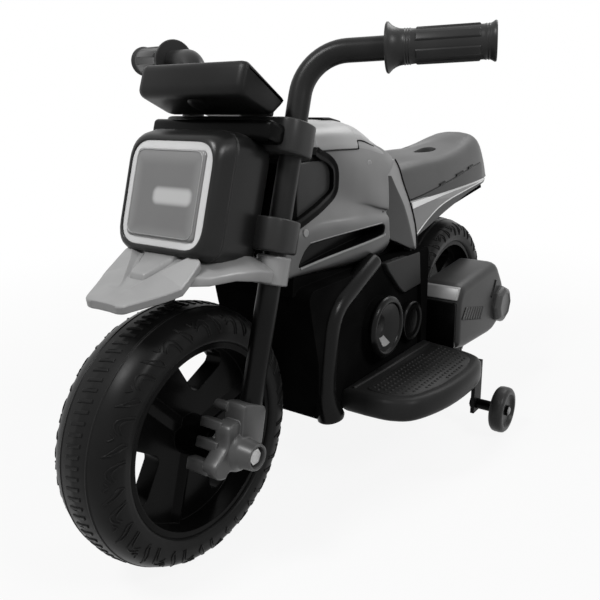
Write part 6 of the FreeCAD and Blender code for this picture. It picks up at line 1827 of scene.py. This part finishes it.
@dataclass
class Stabiliser:
    """The small side wheels with round shoulders, and the bright ends of their bolts."""

    centre: Flat = (140.0, 34.6)
    wheel: Line = (
        (168.2, 0.0), (168.2, 24.6), (169.0, 28.0), (171.2, 30.2), (174.4, 30.9), (180.6, 30.9),
        (183.8, 30.2),
        (186.0, 28.0), (186.8, 24.6), (186.5, 22.4), (184.6, 21.2), (182.9, 19.8), (182.9, 0.0))
    end: Line = ((185.0, 0.0), (185.0, 5.2), (187.0, 5.2), (187.8, 4.2), (188.0, 0.0))

    def build(self, shop: Workshop) -> None:
        """Make the wheel and bolt end of both sides."""
        place = Matrix.Translation((0.0, *self.centre))
        wheel = Form().turned(self.wheel, place, 48).made("stabiliser_tread_left", 40.0)
        twin = mirrored(wheel, "stabiliser_tread_right")
        for part, body, side in ((wheel, Body.LEFT_STABILISER, "left"),
                                 (twin, Body.RIGHT_STABILISER, "right")):
            shop.keep(part, body, Slot.TYRE_BLACK, "dark grey moulding", (f"stabiliser_wheel_{side}",))
        end = Form().turned(self.end, place, 24).made("stabiliser_bolt_end_left", 40.0)
        shop.keep_pair(end, Body.CHASSIS, Slot.SILVER)


# Studio

@dataclass
class Studio:
    """Camera, floor and soft light of the photograph."""

    eye: Point = (463.3, -709.1, 446.5)
    target: Point = (0.0, -65.9, 219.5)
    roll: float = -0.96
    lens_mm: float = 41.67
    sensor_mm: float = 36.0
    near_mm: float = 10.0
    shift: Flat = (-0.0066, -0.0107)
    floor_half: float = 6000.0
    floor_level: float = 0.55
    shadow_reach: Flat = (0.35, 1.5)
    shadow_share: float = 0.1
    ambient: float = 0.26
    aim: Point = (0.0, 0.0, 250.0)
    boxes: tuple[tuple[str, Point, float, float], ...] = (
        ("key_box", (-300.0, -1300.0, 1900.0), 450.0, 30.0),
        ("side_box", (1800.0, -300.0, 1700.0), 600.0, 22.0),
        ("back_box", (300.0, 1500.0, 1900.0), 1000.0, 14.0))

    def build(self) -> None:
        """Add the camera, the world, the floor and the lamps."""
        self.add_camera()
        self.add_world()
        self.add_floor()
        for box in self.boxes:
            self.add_soft_box(*box)

    def add_camera(self) -> None:
        """Place the camera at the photograph's viewpoint."""
        eye = Vector(self.eye) * MM
        ahead = (Vector(self.target) * MM - eye).normalized()
        side = ahead.cross(Vector((0, 0, 1))).normalized()
        up = side.cross(ahead)
        turn = math.radians(self.roll)
        side, up = side * math.cos(turn) + up * math.sin(turn), up * math.cos(turn) - side * math.sin(turn)
        data = bpy.data.cameras.new("photo_camera")
        data.sensor_width = self.sensor_mm
        data.lens = self.lens_mm
        data.shift_x, data.shift_y = self.shift
        data.clip_start = self.near_mm * MM
        camera = bpy.data.objects.new("photo_camera", data)
        matrix = Matrix((side, up, -ahead)).transposed().to_4x4()
        matrix.translation = eye
        camera.matrix_world = matrix
        bpy.context.scene.collection.objects.link(camera)
        bpy.context.scene.camera = camera

    def add_world(self) -> None:
        """Give soft light from all round, and white where the camera, gloss or glass looks."""
        world = bpy.data.worlds.new("studio")
        bpy.context.scene.world = world
        shader = Shader(world)
        ambient, white = (shader.node("ShaderNodeBackground", {}, {"Color": WHITE, "Strength": strength})
                          for strength in (self.ambient, 1.0))
        seen = shader.node("ShaderNodeMixShader", {}, {0: shader.studio_rays(), 1: ambient, 2: white})
        shader.end(seen, "ShaderNodeOutputWorld")

    def add_floor(self) -> None:
        """Lay a pale floor that keeps the shadow near the bike and turns white further out."""
        half = self.floor_half * MM
        mesh = bpy.data.meshes.new("floor")
        corners = [(-half, -half, 0), (half, -half, 0), (half, half, 0), (-half, half, 0)]
        mesh.from_pydata(corners, [], [(0, 1, 2, 3)])
        floor = new_object("floor", mesh)
        shader = Shader(bpy.data.materials.new("pale floor"))
        away = shader.node("ShaderNodeVectorMath", {"operation": "LENGTH"}, {0: shader.place()}, "Value")
        fading = (1.0 - self.shadow_share) + self.shadow_share * away.step(*self.shadow_reach)
        matt = shader.node("ShaderNodeBsdfDiffuse", {}, {"Color": (*[self.floor_level] * 3, 1.0)})
        white = shader.node("ShaderNodeEmission", {}, {"Color": WHITE, "Strength": 1.0})
        seen = shader.node("ShaderNodeMixShader", {}, {0: shader.studio_rays() * fading, 1: matt, 2: white})
        mesh.materials.append(shader.end(seen, "ShaderNodeOutputMaterial"))

    def add_soft_box(self, name: str, spot: Point, width: float, power: float) -> None:
        """Hang one soft box that faces the bike.

        Args:
            name: Name of the lamp.
            spot: Place of its middle.
            width: Side of its square face.
            power: Light output in watts.
        """
        data = bpy.data.lights.new(name, "AREA")
        data.shape = "SQUARE"
        data.size = width * MM
        data.energy = power
        lamp = bpy.data.objects.new(name, data)
        lamp.location = Vector(spot) * MM
        lamp.rotation_mode = "QUATERNION"
        lamp.rotation_quaternion = (Vector(self.aim) * MM - lamp.location).to_track_quat("-Z", "Y")
        bpy.context.scene.collection.objects.link(lamp)


NODE_FINISH = {
    "body_screws": "silver moulding",
    "stabiliser_bolts": "gloss black moulding",
    "hull_left": "engine black moulding",
    "hull_right": "engine black moulding",
    "fork_tube_left": "fork grey moulding",
    "fork_tube_right": "fork grey moulding",
}


def dress_frame(palette: Palette) -> None:
    """Give every node of the frame the finish of its record slot, or its own."""
    for name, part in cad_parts.items():
        slots = [slot.material.name.split(".")[0] if slot.material else "" for slot in part.material_slots]
        for index, slot in enumerate(slots):
            known = [option for option in Slot if option.value == slot]
            finish = NODE_FINISH.get(name, SLOT_FINISH[known[0] if known else Slot.SATIN_BLACK])
            part.material_slots[index].material = palette[finish]
        LOG.info("dressed node %s as %s", name, slots)


def main() -> None:
    """Build the studio, the finishes and the pieces in order."""
    logging.basicConfig(level=logging.INFO, format="%(name)s: %(message)s")
    bpy.context.scene.view_settings.view_transform = "Standard"
    palette = Palette()
    Studio().build()
    dress_frame(palette)
    shop = Workshop(palette)
    assemblies = (
        Tyre("front_tyre", Body.FRONT_WHEEL, -276.0), Tyre("rear_tyre", Body.REAR_WHEEL, 276.0),
        Headlight(), DashCase(), Grip("left"), Grip("right"), Mudguard(), ForkEnd(), SidePanel(), Tank(),
        Seat(), TailTrim(), Step(), ExhaustBox(), AxleCap(), Horn(), Yokes(), EngineTrim(), Stabiliser())
    for assembly in assemblies:
        assembly.build(shop)


if __name__ == "__main__":
    main()
